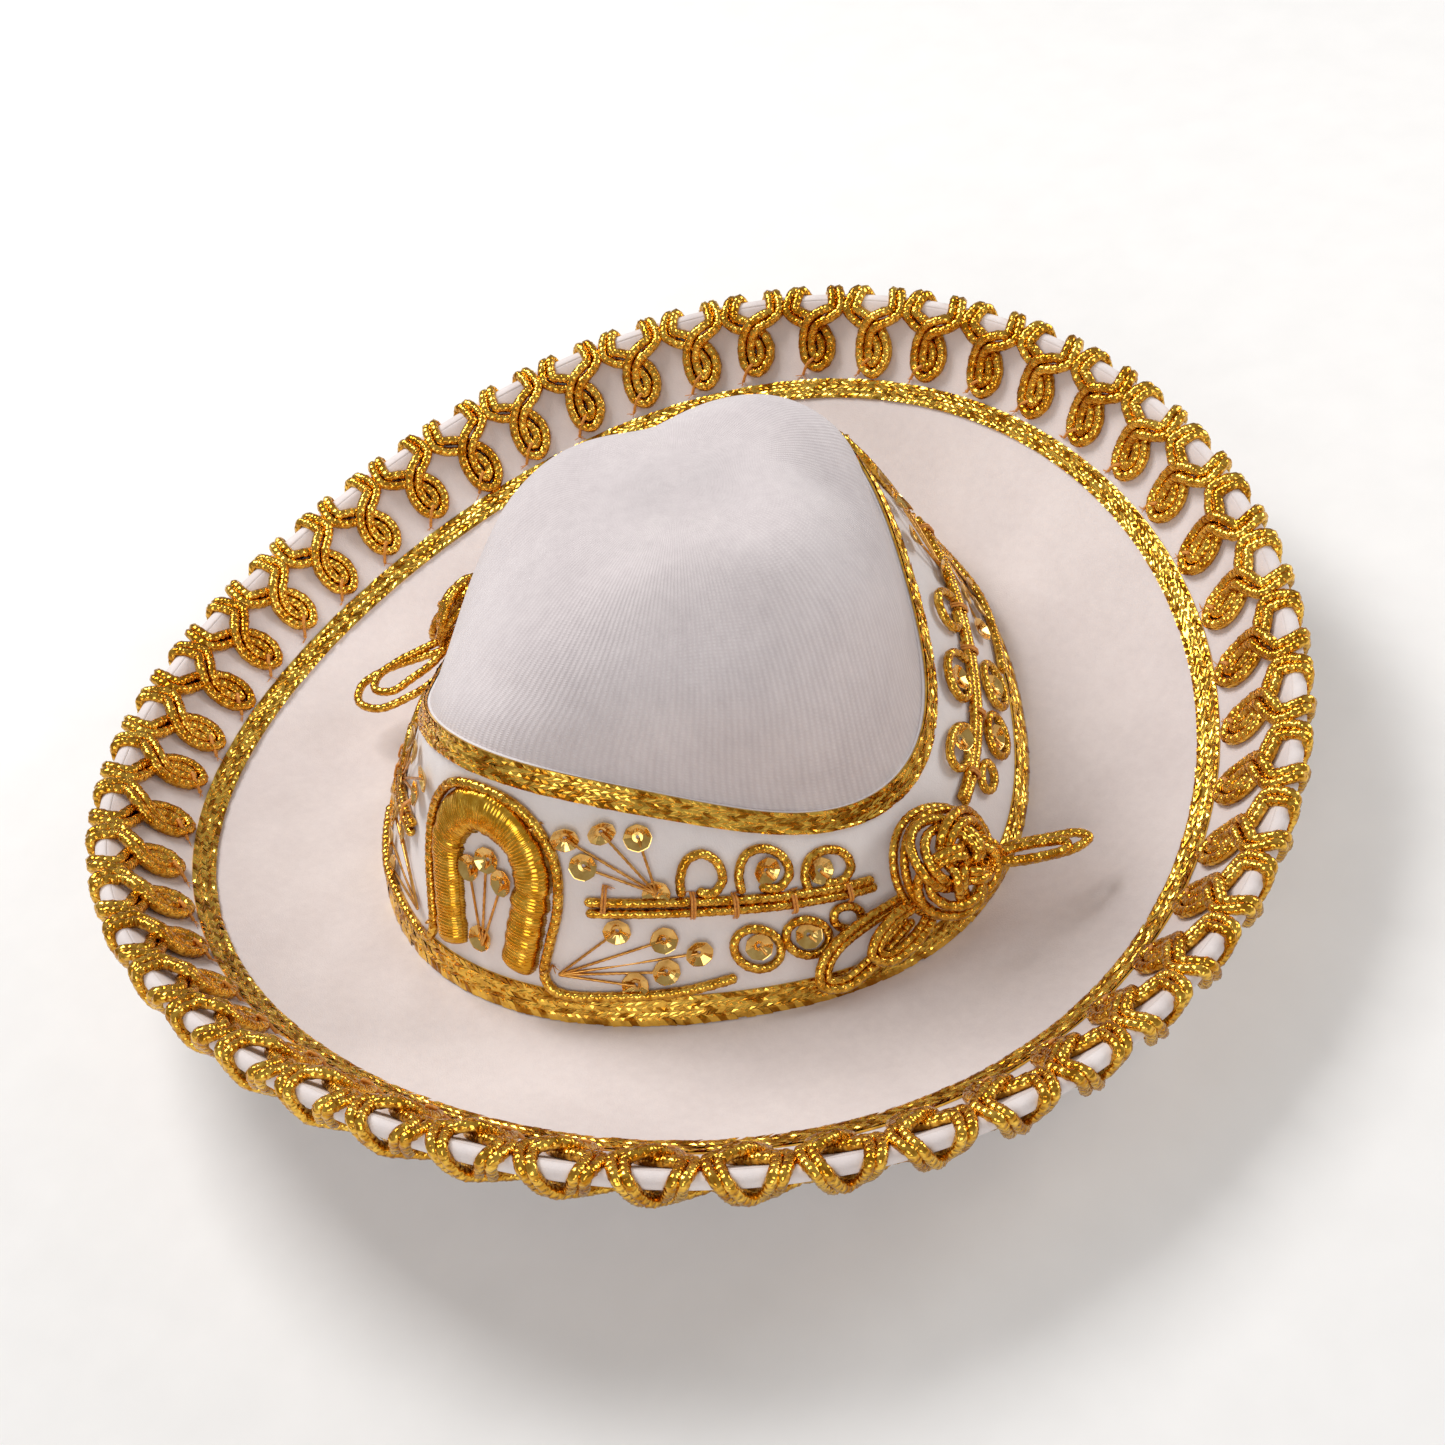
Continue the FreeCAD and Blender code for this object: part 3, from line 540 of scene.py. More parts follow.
def add_cord(maker, path, radius, sides=12, closed=False, style="braid"):
    """A cord along a path of even samples: braided from flat foil, laid (twisted) or plain."""
    tangents, first, second = travelling_frames(path, closed)
    steps = np.linalg.norm(np.diff(path, axis=0), axis=1)
    along = np.concatenate([[0.0], np.cumsum(steps)])
    around = np.arange(sides) / sides * TURN
    distance, angle = np.meshgrid(along, around, indexing="ij")
    reach = np.full_like(distance, radius)
    if style == "braid":
        angle, reach = foil_plait(distance, angle, radius, sides)
    elif style == "laid":
        reach = radius * (0.7 + 0.3 * np.abs(np.cos(1.5 * angle + 0.75 / radius * distance)) ** 0.6)
    if not closed:
        ends = np.clip(np.minimum(distance, along[-1] - distance) / radius, 0, 0.98)
        reach = reach * np.sqrt(ends * (2 - ends) + 0.04)
    ring_a = np.cos(angle)[..., None] * first[:, None, :]
    ring_b = np.sin(angle)[..., None] * second[:, None, :]
    points = path[:, None, :] + (ring_a + ring_b) * reach[..., None]
    maps_along = np.append(along, along[-1] + steps[-1]) if closed else along
    uv = np.stack(np.meshgrid(maps_along, np.arange(sides + 1) / sides, indexing="ij"), -1)
    index = maker.grid(points, uv, wrap_rows=closed, wrap_columns=True)
    if not closed:
        maker.close_ends(index)


def add_cord_ring(maker, points, radius):
    """A closed cord through the points."""
    add_cord(maker, smooth_path(points, 0.5, closed=True)[:-1], radius, closed=True)


def foil_plait(distance, angle, radius, sides):
    """Chevron facets of a flat-foil braid: strands slant one way, then the other."""
    lay = 1.15 * radius
    column = np.arange(sides)[None, :]
    phase = distance / lay + 0.5 * (column % 2)
    swing = np.abs((phase % 2) - 1) - 0.5
    twisted = angle + swing * TURN / sides * 0.9
    bulge = 0.5 + 0.5 * np.cos(TURN * phase)
    jitter = dice.normal(0, 0.012, distance.shape)
    return twisted, radius * (0.88 + 0.14 * bulge + jitter)


def ring_skin(maker, surface, outline, columns, ripple=None):
    """Closed skin right round the hat. outline is a closed loop of (distance, offset)."""
    outline = np.array(outline)
    angles = np.arange(columns) / columns * TURN
    distance = outline[:, 0][:, None]
    offset = outline[:, 1][:, None]
    points = surface.point(angles[None, :], distance, offset)
    if ripple is not None:
        points = ripple(points, angles[None, :], distance, offset)
    mean_radius = surface.profile(outline[:, 0])[:, 0].mean()
    steps = np.linalg.norm(np.diff(np.vstack([outline, outline[:1]]), axis=0), axis=1)
    along = np.concatenate([[0.0], np.cumsum(steps)])
    across = np.arange(columns + 1) / columns * TURN * mean_radius
    uv = np.stack(np.meshgrid(across, along), -1)
    maker.grid(points, uv, wrap_rows=True, wrap_columns=True)


def strip_outline(start, end, low, high, steps, rounding=0.0):
    """Closed loop round a strip: up its face from start to end and back underneath."""
    face = np.linspace(start, end, steps)
    height = high - rounding * (2 * (face - start) / (end - start) - 1) ** 8
    return list(zip(face, height)) + [(end, low), (start, low)]


# ---- brim and crown


def build_brim(velvet, under_velvet):
    """Velvet over the brim's top, and velvet underneath that wraps round the rim."""

    def pile(points, angles, distance, offset):
        wave = 0.16 * np.sin(9 * angles + 0.06 * distance) * np.sin(0.11 * distance + 1.3)
        dimple = 0.1 * np.sin(23 * angles - 0.2 * distance)
        points = points.copy()
        points[..., 2] += (wave + dimple) * np.clip(distance / 8, 0, 1) * (offset > -0.1)
        return points

    maker = MeshMaker()
    rim = [(brim.end + 0.5, -0.1), (brim.end + 0.6, -0.5), (brim.end - 0.2, -VELVET)]
    outline = strip_outline(0, brim.end, -VELVET, 0.0, 110)[:-2] + rim
    outline += [(place, -VELVET) for place in np.linspace(brim.end - 4, 0, 24)]
    ring_skin(maker, brim, outline, RING_COLUMNS, pile)
    maker.build("brim_top_velvet_cloth", velvet, ["brim_top_velvet"])

    def rest_flat(points, angles, distance, offset):
        points = points.copy()
        points[..., 2] = np.maximum(points[..., 2], 0.0)
        return points

    maker = MeshMaker()
    board = -VELVET - BOARD
    outline = [(place, -BRIM_DEPTH) for place in np.linspace(0.0, brim.end - 0.5, 90)]
    for turn in np.linspace(-80, 80, 11):
        roll = math.radians(turn)
        across = brim.end + EDGE_ROLL * math.cos(roll)
        outline.append((across, -BRIM_DEPTH / 2 + BRIM_DEPTH * 0.5 * math.sin(roll)))
    outline += [(brim.end + 0.1, -0.5), (brim.end - 0.1, board)]
    outline += [(place, board) for place in np.linspace(brim.end - 4, 0, 24)]
    ring_skin(maker, brim, outline, RING_COLUMNS, rest_flat)
    maker.build("brim_under_velvet_cloth", under_velvet, ["brim_under_velvet"])


def add_dome(maker, low, high, columns, ripple, steps=130):
    """Closed dome with two faces, each closed at the top by a round cap."""
    angles = np.arange(columns + 1) / columns * TURN
    across = angles * CROWN_MAP_RADIUS
    climb = np.linspace(0.0, crown.end, steps)
    descent = np.linspace(crown.end, 0.0, steps // 2)
    for upward, distance, offset in ((True, climb, high), (False, descent, low)):
        place = (angles[None, :-1], distance[:, None], np.full((len(distance), 1), offset))
        points = ripple(crown.point(*place), *place)
        index = maker.grid(points, np.stack(np.meshgrid(across, distance), -1), wrap_columns=True)
        cap = index[-1 if upward else 0, :-1]
        edge = index[0 if upward else -1]
        heart = maker.count
        middle = points[-1 if upward else 0].mean(0) + np.array([0, 0, 0.12])
        maker.points.append(middle[None, :])
        maker.count += 1
        for column, (one, two) in enumerate(zip(cap, np.roll(cap, -1))):
            left, right = across[column:column + 2]
            top = crown.end + CROWN_RINGS[-1][0]
            maker.face([one, two, heart], [(left, crown.end), (right, crown.end), (right, top)])
        if upward:
            outer_edge = edge
        else:
            for column in range(columns):
                maker.face([outer_edge[column], outer_edge[column + 1], edge[column + 1], edge[column]])


def drawn_in(points, amount):
    """Points moved by amount mm towards the middle of their ring."""
    inward = unit(points.mean(axis=1, keepdims=True) - points)
    return points + inward * amount[..., None]


def soft_dents(points, angles, distance, offset):
    """Slack in the crown: a dent on each slanting side near the top, and faint drag lines."""
    height = distance / crown.end
    side = np.clip(-np.cos(4 * angles), 0, 1) ** 2
    level = np.exp(-((height - 0.66) / 0.13) ** 2)
    crease = 0.35 * np.sin(7 * angles + 14 * height) * np.exp(-((height - 0.55) / 0.2) ** 2)
    slack = (0.9 * side * level - 0.35 + crease) * (offset > -0.1) * np.clip(height * 6 - 1, 0, 1)
    return drawn_in(points, slack)


def gathered(points, angles, distance, offset):
    """Small pleats that draw the lining in towards the top of the crown."""
    pleat = 0.35 * np.abs(np.sin(18 * angles)) * np.clip(distance / crown.end, 0, 1)
    return drawn_in(points, pleat * (offset < -2.5))


def build_crown(knit, felt, lining, grosgrain):
    maker = MeshMaker()
    add_dome(maker, -VELVET, 0.0, CROWN_COLUMNS, soft_dents)
    maker.build("crown_velvet_cloth", knit, ["crown_velvet"])

    maker = MeshMaker()
    add_dome(maker, -CROWN_DEPTH, -CROWN_DEPTH + LINING, LINING_COLUMNS, gathered, 70)
    maker.build("crown_lining_cloth", lining, ["crown_lining"])

    maker = MeshMaker()
    outline = strip_outline(0, SWEATBAND_WIDTH, -CROWN_DEPTH, -CROWN_DEPTH - SWEATBAND, 20, -0.35)
    ring_skin(maker, crown, outline, RING_COLUMNS)
    maker.build("sweatband_tape", grosgrain, ["sweatband"])

    maker = MeshMaker()
    ring_skin(maker, crown, strip_outline(0, BAND_END, 0.0, BAND, 60, 0.3), RING_COLUMNS)
    maker.build("hat_band_felt", felt, ["hat_band"])


# ---- flat braid ribbons


TILE_LENGTH = 2.0
TILE_LANES = 5
MISSING_TILES = 0.03


def add_ribbon_tiles(maker, surface, start, height):
    """Flat foil strands woven as chevrons: slanted tiles, each with its own small tilt."""
    lane = RIBBON_WIDTH / TILE_LANES
    radius = surface.profile(start + RIBBON_WIDTH / 2)[0]
    count = int(round(TURN * radius / TILE_LENGTH))
    pitch = TURN / count
    grid = np.linspace(-0.5, 0.5, 3)
    u, v = np.meshgrid(grid, grid)
    dome = (1 - (2 * u) ** 2) * (1 - (2 * v) ** 2)
    for lane_index in range(TILE_LANES):
        slant = 0.75 if lane_index % 2 else -0.75
        shift = dice.uniform(0, 1)
        for step in range(count):
            if dice.random() < MISSING_TILES:
                continue
            angle = (step + shift + dice.normal(0, 0.05)) * pitch
            across = (u * 1.12 + v * slant) * pitch
            along = start + lane * (lane_index + 0.5 + v * 1.1 + dice.normal(0, 0.03))
            tilt = dice.normal(0, 0.11) * u * 1.5 + dice.normal(0, 0.13) * v
            offset = height + 0.05 + 0.24 * dome + tilt * 0.9
            points = surface.point(angle + across, along, np.maximum(offset, height - 0.25))
            maker.grid(points, np.stack([u, v], -1))


def build_ribbons(foil):
    places = (
        ("brim_ribbon", brim, BRIM_TURN - RIBBON_WIDTH / 2, 0.0),
        ("band_ribbon_lower", crown, 0.0, BAND),
        ("band_ribbon_upper", crown, BAND_END - RIBBON_WIDTH, BAND),
    )
    for node, surface, start, low in places:
        maker = MeshMaker()
        high = low + RIBBON * 0.75
        outline = strip_outline(start, start + RIBBON_WIDTH, low, high, 9, 0.25)
        ring_skin(maker, surface, outline, RING_COLUMNS)
        add_ribbon_tiles(maker, surface, start, high)
        maker.build(node + "_braid", foil, [node], smooth=False, fix_normals=False)


# ---- rim lacing

# One unit of the lacing as (across, from the edge, height in cords). From the edge is
# positive on the top face and negative underneath.
LACE_UNDER = [(-9.8, -13.5, 0.1), (-3.8, -10.5, 0.15), (0.2, -6.8, 0.4), (3.0, -2.8, 0.45)]
LACE_EDGE = 5.6
LACE_TOP = [(7.3, 2.0, 0.42), (5.4, 3.8, 0.45), (1.0, 6.2, 0.45), (-2.3, 9.2, 0.45), (-4.2, 13.0, 0.45)]
LACE_TOP += [(-3.8, 16.6, 0.45), (-1.3, 18.9, 0.45), (1.2, 17.2, 0.45), (2.1, 13.4, 0.5), (1.4, 9.2, 0.8)]
LACE_TOP += [(-1.0, 5.8, 1.2), (-5.2, 3.6, 0.8), (-7.2, 2.0, 0.5)]


def lace_route(centre, shift, sway, stretch):
    """Points of one cord of the pair round one unit of the lacing."""
    back = []
    for index, (across, edge, height) in enumerate(LACE_UNDER):
        back.append((-across, edge, height + 0.4 * (index > 0)))
    table = LACE_UNDER + [(LACE_EDGE, 0.0, 0.0)] + LACE_TOP + [(-LACE_EDGE, 0.0, 0.0)] + back[::-1]
    flat = np.array([(across, edge) for across, edge, _ in table])
    heading = unit(np.gradient(flat, axis=0))
    moved = flat + np.stack([-heading[:, 1], heading[:, 0]], 1) * shift
    points = []
    for (across, edge), (_, planned, height) in zip(moved, table):
        angle = centre + (across + sway * max(edge, 0.0)) / BRIM_RINGS[-1][0]
        if planned == 0.0:
            points.append(rim_point(angle))
        elif planned > 0:
            points.append(brim.point(angle, brim.end - max(edge, 0.6) * stretch, height * LACE))
        else:
            points.append(brim.point(angle, brim.end + min(edge, -0.6), -BRIM_DEPTH - height * LACE))
    return points


def rim_point(angle):
    """Middle of a cord where it bends round the rim."""
    inside = brim.point(angle, brim.end - 1.0, -BRIM_DEPTH / 2)
    rim = brim.point(angle, brim.end, -BRIM_DEPTH / 2)
    return rim + unit(rim - inside) * (EDGE_ROLL + LACE * 0.45)


def build_lacing(gold, thread):
    """Two cords that cross in every unit, and a stitch that holds each loop down."""
    pitch = TURN / LACE_UNITS
    sways = dice.normal(0, 0.04, LACE_UNITS)
    stretches = 1 + dice.normal(0, 0.03, LACE_UNITS)
    for name, shift in (("rim_lacing_outer_cord", LACE / 2), ("rim_lacing_inner_cord", -LACE / 2)):
        maker = MeshMaker()
        for unit in range(LACE_UNITS):
            route = lace_route((unit + 0.5) * pitch, shift, sways[unit], stretches[unit])
            add_cord(maker, smooth_path(route, 0.65), LACE * 0.49)
        maker.build(name + "_braid", gold, [name])

    maker = MeshMaker()
    for unit in range(LACE_UNITS):
        angle = (unit + 0.5) * pitch
        lean = sways[unit] * 17
        start = brim.lay(angle, brim.end - 16.6, 3.0, lean - 0.6)
        middle = brim.lay(angle, brim.end - 18.2, 2.6, lean + 1.4)
        end = brim.lay(angle, brim.end - 21.4, 0.4, lean + 3.6)
        add_tack(maker, [start, middle, end], 0.5, 3, brim.frame(angle, brim.end - 21.0))
    maker.build("rim_tack_threads", thread, ["rim_tack_stitches"])


def add_tack(maker, points, radius, frays, directions):
    """A stitch over a cord, with a few frayed fibres at its lower end."""
    add_cord(maker, smooth_path(points, 0.25), radius, 6, style="laid")
    around, along, normal = directions
    for _ in range(frays):
        start = np.asarray(points[-1])
        reach = dice.uniform(0.8, 2.6)
        heading = around * dice.normal(0.5, 0.6) - along * dice.uniform(-0.2, 0.8)
        heading = unit(heading + normal * dice.uniform(0.0, 0.35))
        bend = start + heading * reach * 0.55 + normal * dice.uniform(0.0, 0.3)
        add_cord(maker, smooth_path([start, bend, start + heading * reach], 0.4), 0.13, 4, style="plain")


# ---- band ornament

UPPER_FAN_HEART = (0.37, 0.57)
UPPER_FAN = [(0.19, 0.74), (0.27, 0.79), (0.35, 0.79), (0.225, 0.645)]
LOWER_FAN_HEART = (0.16, 0.19)
LOWER_FAN = [(0.28, 0.40), (0.37, 0.37), (0.435, 0.31), (0.365, 0.23), (0.305, 0.17)]
STEM_ROUTE = [(0.22, 0.485), (0.35, 0.505), (0.47, 0.52), (0.60, 0.53), (0.74, 0.535), (0.86, 0.52)]
SCROLL_ROUTE = [(0.30, 0.125), (0.40, 0.145), (0.50, 0.185)]
UPPER_CURLS = [(0.47, 0.655, 10.0, 10.5), (0.615, 0.69, 12.5, 12.5), (0.765, 0.675, 12.5, 12.0)]
ROUND_CURLS = [(0.555, 0.31, 5.3), (0.665, 0.33, 5.0), (0.765, 0.385, 3.4)]
CURL_SEQUINS = [(0.56, 0.32), (0.67, 0.34), (0.625, 0.69), (0.75, 0.67)]
LEAF_BACK = [(0.89, 0.40), (0.80, 0.37), (0.71, 0.29), (0.66, 0.17), (0.66, 0.075)]
LEAF_BACK += [(0.70, 0.05), (0.76, 0.10), (0.82, 0.17), (0.89, 0.25)]
LEAF_FRONT = [(0.92, 0.37), (0.85, 0.355), (0.79, 0.28), (0.765, 0.18), (0.80, 0.12), (0.86, 0.15)]
LEAF_FRONT += [(0.92, 0.22)]
STEM_STITCHES = [0.26, 0.44, 0.53, 0.66, 0.79]
STEM_UP = 0.52
# one stitch over the stem as (rise, height)
STITCH_ARCH = [(-3.3, 0.5), (-1.8, CORD * 1.12), (0.0, CORD * 1.2), (1.8, CORD * 1.12), (3.3, 0.5)]
BAND_MAP_RADIUS = 78.0
CURL_SHAPE = [(-0.5, -0.5), (-0.44, -0.1), (-0.2, 0.32), (0.15, 0.5), (0.44, 0.34)]
CURL_SHAPE += [(0.47, -0.08), (0.2, -0.38), (-0.16, -0.36)]


class Quarter:
    """Band ornament between a horseshoe and a knot, with the CAD's places."""

    def __init__(self, start, end):
        self.start = start
        self.span = end - start
        self.side = 1 if end > start else -1

    def place(self, along, up, offset, across=0.0, rise=0.0):
        angle = self.start + self.span * along
        return crown.lay(angle, BAND_END * up + rise, BAND + offset, across * self.side)

    def frame(self, along, up):
        return crown.frame(self.start + self.span * along, BAND_END * up)

    def path(self, route, offset, step=0.5, shift=0.0, bow=0.0):
        """Samples over the band's curve. shift moves them sideways, bow lifts the middle."""
        fine = smooth_path(route, 0.002)
        before = np.roll(fine, 1, 0)
        before[0] = 2 * fine[0] - fine[1]
        width = abs(self.span) * BAND_MAP_RADIUS
        heading = unit((fine - before) * np.array([width, BAND_END]))
        lift = bow * np.sin(np.linspace(0, math.pi, len(fine)))
        points = []
        for (along, up), (run, rise), raised in zip(fine, heading, lift):
            points.append(self.place(along, up, offset + raised, -rise * shift, run * shift))
        return even_steps(np.array(points), step)


def build_pair(names, paint, fill, smooth=True):
    """One ornament on both sides of the hat. fill adds it to a mesh maker."""
    for name in names:
        maker = MeshMaker()
        fill(maker)
        if name == names[1]:
            maker.turn_back()
        maker.build(name + "_work", paint, [name], smooth)


def add_upper_curls(maker, quarter):
    for along, up, width, height in UPPER_CURLS:
        points = []
        for across, rise in CURL_SHAPE:
            points.append(quarter.place(along, up, CORD * 0.55, across * width, rise * height))
        add_cord(maker, smooth_path(points, 0.5), CORD / 2)


def add_round_curls(maker, quarter):
    for along, up, radius in ROUND_CURLS:
        points = []
        for turn in np.linspace(0, TURN, 10, endpoint=False):
            across = radius * math.cos(turn)
            points.append(quarter.place(along, up, CORD * 0.6, across, radius * math.sin(turn)))
        add_cord_ring(maker, points, CORD / 2)


def add_stems(maker, quarter):
    for shift in (-CORD / 2, CORD / 2):
        add_cord(maker, quarter.path(STEM_ROUTE, CORD * 0.55, shift=shift), CORD / 2)


def add_leaf_loops(maker, quarter):
    for route, lift in ((LEAF_BACK, 1.6), (LEAF_FRONT, 2.8)):
        add_cord(maker, quarter.path(route, CORD * lift, bow=0.6), CORD / 2)
        add_cord(maker, quarter.path(route, CORD * lift - 0.2, shift=2.1, bow=0.3), CORD * 0.42)


def add_stem_stitches(maker, quarter):
    for along in STEM_STITCHES:
        points = [quarter.place(along, STEM_UP, lift, rise * 0.15, rise) for rise, lift in STITCH_ARCH]
        directions = quarter.frame(along, STEM_UP)
        for step in (-0.35, 0.35):
            add_tack(maker, [point + directions[0] * step for point in points], 0.34, 3, directions)


def add_sequin(maker, centre, frame_vectors, lean=0.12):
    """Cupped foil disc with eight slightly bowed sides, a hole, a rolled edge and a small tilt."""
    around, along, normal = frame_vectors
    normal = unit(normal + around * dice.normal(0, lean) + along * dice.normal(0, lean))
    first = unit(np.cross(normal, along))
    second = np.cross(normal, first)
    spin = dice.uniform(0, TURN)
    sides = 16
    angles = np.arange(sides) / sides * TURN + spin
    facet = np.where(np.arange(sides) % 2, 1.0, 0.955)
    section = [(0.5, 0.0), (1.25, 0.02), (2.3, 0.42), (SEQUIN * 0.96, 0.86), (SEQUIN, 1.0), (SEQUIN, 1.12)]
    section += [(SEQUIN * 0.95, 1.1), (2.3, 0.67), (1.25, 0.25), (0.5, 0.22)]
    rows = []
    for radius, height in section:
        reach = radius * (facet if radius > 1.3 else np.ones(sides))
        ring = first * (np.cos(angles) * reach)[:, None] + second * (np.sin(angles) * reach)[:, None]
        rows.append(centre + ring + normal * height)
    points = np.array(rows)
    uv = np.zeros((len(section) + 1, sides + 1, 2))
    maker.grid(points, uv, wrap_rows=True, wrap_columns=True)


def add_quarter_sequins(maker, quarter):
    for along, up in UPPER_FAN + LOWER_FAN + CURL_SEQUINS + [UPPER_FAN_HEART]:
        add_sequin(maker, quarter.place(along, up, 0.75), quarter.frame(along, up))


def add_thread(maker, start, end):
    middle = (start + end) / 2
    add_cord(maker, smooth_path([start, middle, end], 0.3), 0.36, 8, style="laid")


def add_quarter_threads(maker, quarter):
    for heart, fan in ((UPPER_FAN_HEART, UPPER_FAN), (LOWER_FAN_HEART, LOWER_FAN)):
        start = quarter.place(heart[0], heart[1], 1.6)
        for along, up in fan:
            add_thread(maker, start, quarter.place(along, up, 1.5))
    for along, up in CURL_SEQUINS:
        start = quarter.place(along, up, 1.0)
        add_thread(maker, start, quarter.place(along, up, 2.0, 1.2, -2.6))


def build_quarter(quarter, sides, paints):
    """Cords, stitches, sequins and threads of one quarter, and again on the far side of the hat."""
    gold, sequin, thread, tack = paints
    jobs = (
        ("stem_cords", gold, "gold_cord", add_stems, True),
        ("upper_curls", gold, "gold_cord", add_upper_curls, True),
        ("lower_curls", gold, "gold_cord", add_round_curls, True),
        ("stitches", tack, "gold_thread", add_stem_stitches, True),
        ("sequins", sequin, "gold_sequin", add_quarter_sequins, False),
        ("fan_threads", thread, "gold_thread", add_quarter_threads, True),
    )
    for group, paint, slot, fill, smooth in jobs:
        names = ["_".join((side, group)) for side in sides]
        build_pair(names, paint, lambda maker, fill=fill: fill(maker, quarter), smooth)


# ---- horseshoes

HORSESHOE_OUTER = 17.0
HORSESHOE_INNER = 7.5
HORSESHOE_THICK = 4.0
HORSESHOE_FOOT = 0.16
HORSESHOE_HEART = 0.53


def horseshoe_line(steps):
    """Middle line of the pad as (across mm, distance up the band mm), foot to foot."""
    middle = (HORSESHOE_OUTER + HORSESHOE_INNER) / 2
    foot = 9.2
    low = BAND_END * HORSESHOE_FOOT + 0.5
    centre = BAND_END * HORSESHOE_HEART
    legs = np.linspace(0, 1, 14)
    right = [(foot + (middle - foot) * part ** 0.8, low + (centre - low) * part) for part in legs]
    arch = []
    for turn in np.linspace(0, math.pi, 22)[1:-1]:
        arch.append((middle * math.cos(turn), centre + middle * math.sin(turn)))
    left = [(-across, up) for across, up in reversed(right)]
    return even_steps(np.array(right + arch + left), (2 * (centre - low) + math.pi * middle) / steps)


def add_horseshoe_pad(maker):
    """Padded satin stitch: a domed U with threads laid side by side across it."""
    line = horseshoe_line(440)
    heading = unit(np.gradient(line, axis=0))
    side = np.stack([heading[:, 1], -heading[:, 0]], 1)
    columns = 25
    spread = np.linspace(-1, 1, columns)
    length = np.linspace(0, 1, len(line))
    end_round = np.clip(np.minimum(length, 1 - length) / 0.025, 0, 1) ** 0.5
    half_width = (4.7 - 0.4 * np.abs(length - 0.5) * 2) * (0.75 + 0.25 * end_round)
    count = np.arange(len(line))
    thread = count / 4.0
    unevenness = dice.normal(0, 1, len(line) // 8 + 2)
    wobble = np.interp(count, np.arange(0, len(line) + 8, 8), unevenness)
    rows = []
    for index, (place, across, width) in enumerate(zip(line, side, half_width)):
        dome = (1 - np.abs(spread) ** 2.6) ** 0.6 * (HORSESHOE_THICK - 0.3) * (0.35 + 0.65 * end_round[index])
        slope = thread[index] + 0.35 * spread
        ridge = 0.3 * np.abs(np.sin(math.pi * slope)) ** 0.7 * (1 - spread ** 6)
        ragged = 1 + 0.05 * wobble[index] + 0.03 * math.sin(2.2 * math.pi * thread[index])
        x = place[0] + across[0] * spread * width * ragged
        up = place[1] + across[1] * spread * width * ragged
        height = BAND + np.maximum(dome + ridge + 0.12 * wobble[index] * (1 - spread ** 2), 0.05)
        rows.append(crown.lay(np.full(columns, HORSESHOE_ANGLE), up, height, x))
    top = np.array(rows)
    bottom = []
    for place, across, width in zip(line, side, half_width):
        x = place[0] + across[0] * spread * width
        up = place[1] + across[1] * spread * width
        bottom.append(crown.lay(np.full(columns, HORSESHOE_ANGLE), up, np.full(columns, BAND + 0.02), x))
    bottom = np.array(bottom)[:, ::-1]
    loop = np.concatenate([top, bottom[:, 1:-1]], axis=1)
    uv = np.stack(np.meshgrid(np.arange(loop.shape[1] + 1) * 0.4, count * 0.25), -1)
    maker.close_ends(maker.grid(loop, uv, wrap_columns=True))


def outline_route(quarter):
    """Half of the cord round a horseshoe, from its scroll on the band's foot up to the top."""
    offset = OUTLINE * 0.6
    reach = HORSESHOE_OUTER + OUTLINE * 0.6
    points = [quarter.place(along, up, offset) for along, up in reversed(SCROLL_ROUTE)]
    for up, across in ((0.115, reach + 1.0), (0.17, reach - 2.0), (0.32, reach - 1.2), (0.46, reach)):
        points.append(quarter.place(0.0, up, offset, across))
    for turn in (18, 42, 66):
        spin = math.radians(turn)
        height = BAND_END * HORSESHOE_HEART + reach * 0.95 * math.sin(spin)
        points.append(quarter.place(0.0, 0.0, offset, reach * math.cos(spin), height))
    return points


def build_horseshoes(quarters, satin, paints):
    gold, sequin, thread, _ = paints
    near = quarters[0]
    for name in ("front", "back"):
        maker = MeshMaker()
        add_horseshoe_pad(maker)
        if name == "back":
            maker.turn_back()
        pad = maker.build(name + "_horseshoe_satin", satin, [name + "_horseshoe_pad"])

    def outline(maker):
        route = outline_route(quarters[0]) + list(reversed(outline_route(quarters[1])))
        add_cord(maker, smooth_path(route, 0.5), OUTLINE / 2)

    def sequins(maker):
        for across, up in ((-4.2, 0.52), (0.8, 0.58), (5.0, 0.51), (-0.5, 0.25)):
            add_sequin(maker, near.place(0.0, up, 0.75, across), near.frame(0.0, up))

    def threads(maker):
        for across, up in ((-4.2, 0.52), (0.8, 0.58), (5.0, 0.51)):
            add_thread(maker, near.place(0.0, 0.22, 1.4), near.place(0.0, up, 1.5, across))
        for across, up in ((-10.0, 0.80), (12.5, 0.76), (-17.0, 0.2), (16.5, 0.2)):
            start = near.place(0.0, up, 0.4, across - 1.5)
            middle = near.place(0.0, up, OUTLINE * 1.25, across)
            end = near.place(0.0, up, 0.4, across + 1.5, 1.0)
            add_tack(maker, [start, middle, end], 0.34, 4, near.frame(0.0, up))

    build_pair(("front_horseshoe_cord", "back_horseshoe_cord"), gold, outline)
    build_pair(("front_horseshoe_sequins", "back_horseshoe_sequins"), sequin, sequins, False)
    build_pair(("front_horseshoe_threads", "back_horseshoe_threads"), thread, threads)


# ---- knots and loops

KNOT_ACROSS = 15.0
KNOT_ALONG = 15.5
KNOT_DEEP = 8.5
KNOT_UP = 0.47
TAIL_DROOP = 0.45
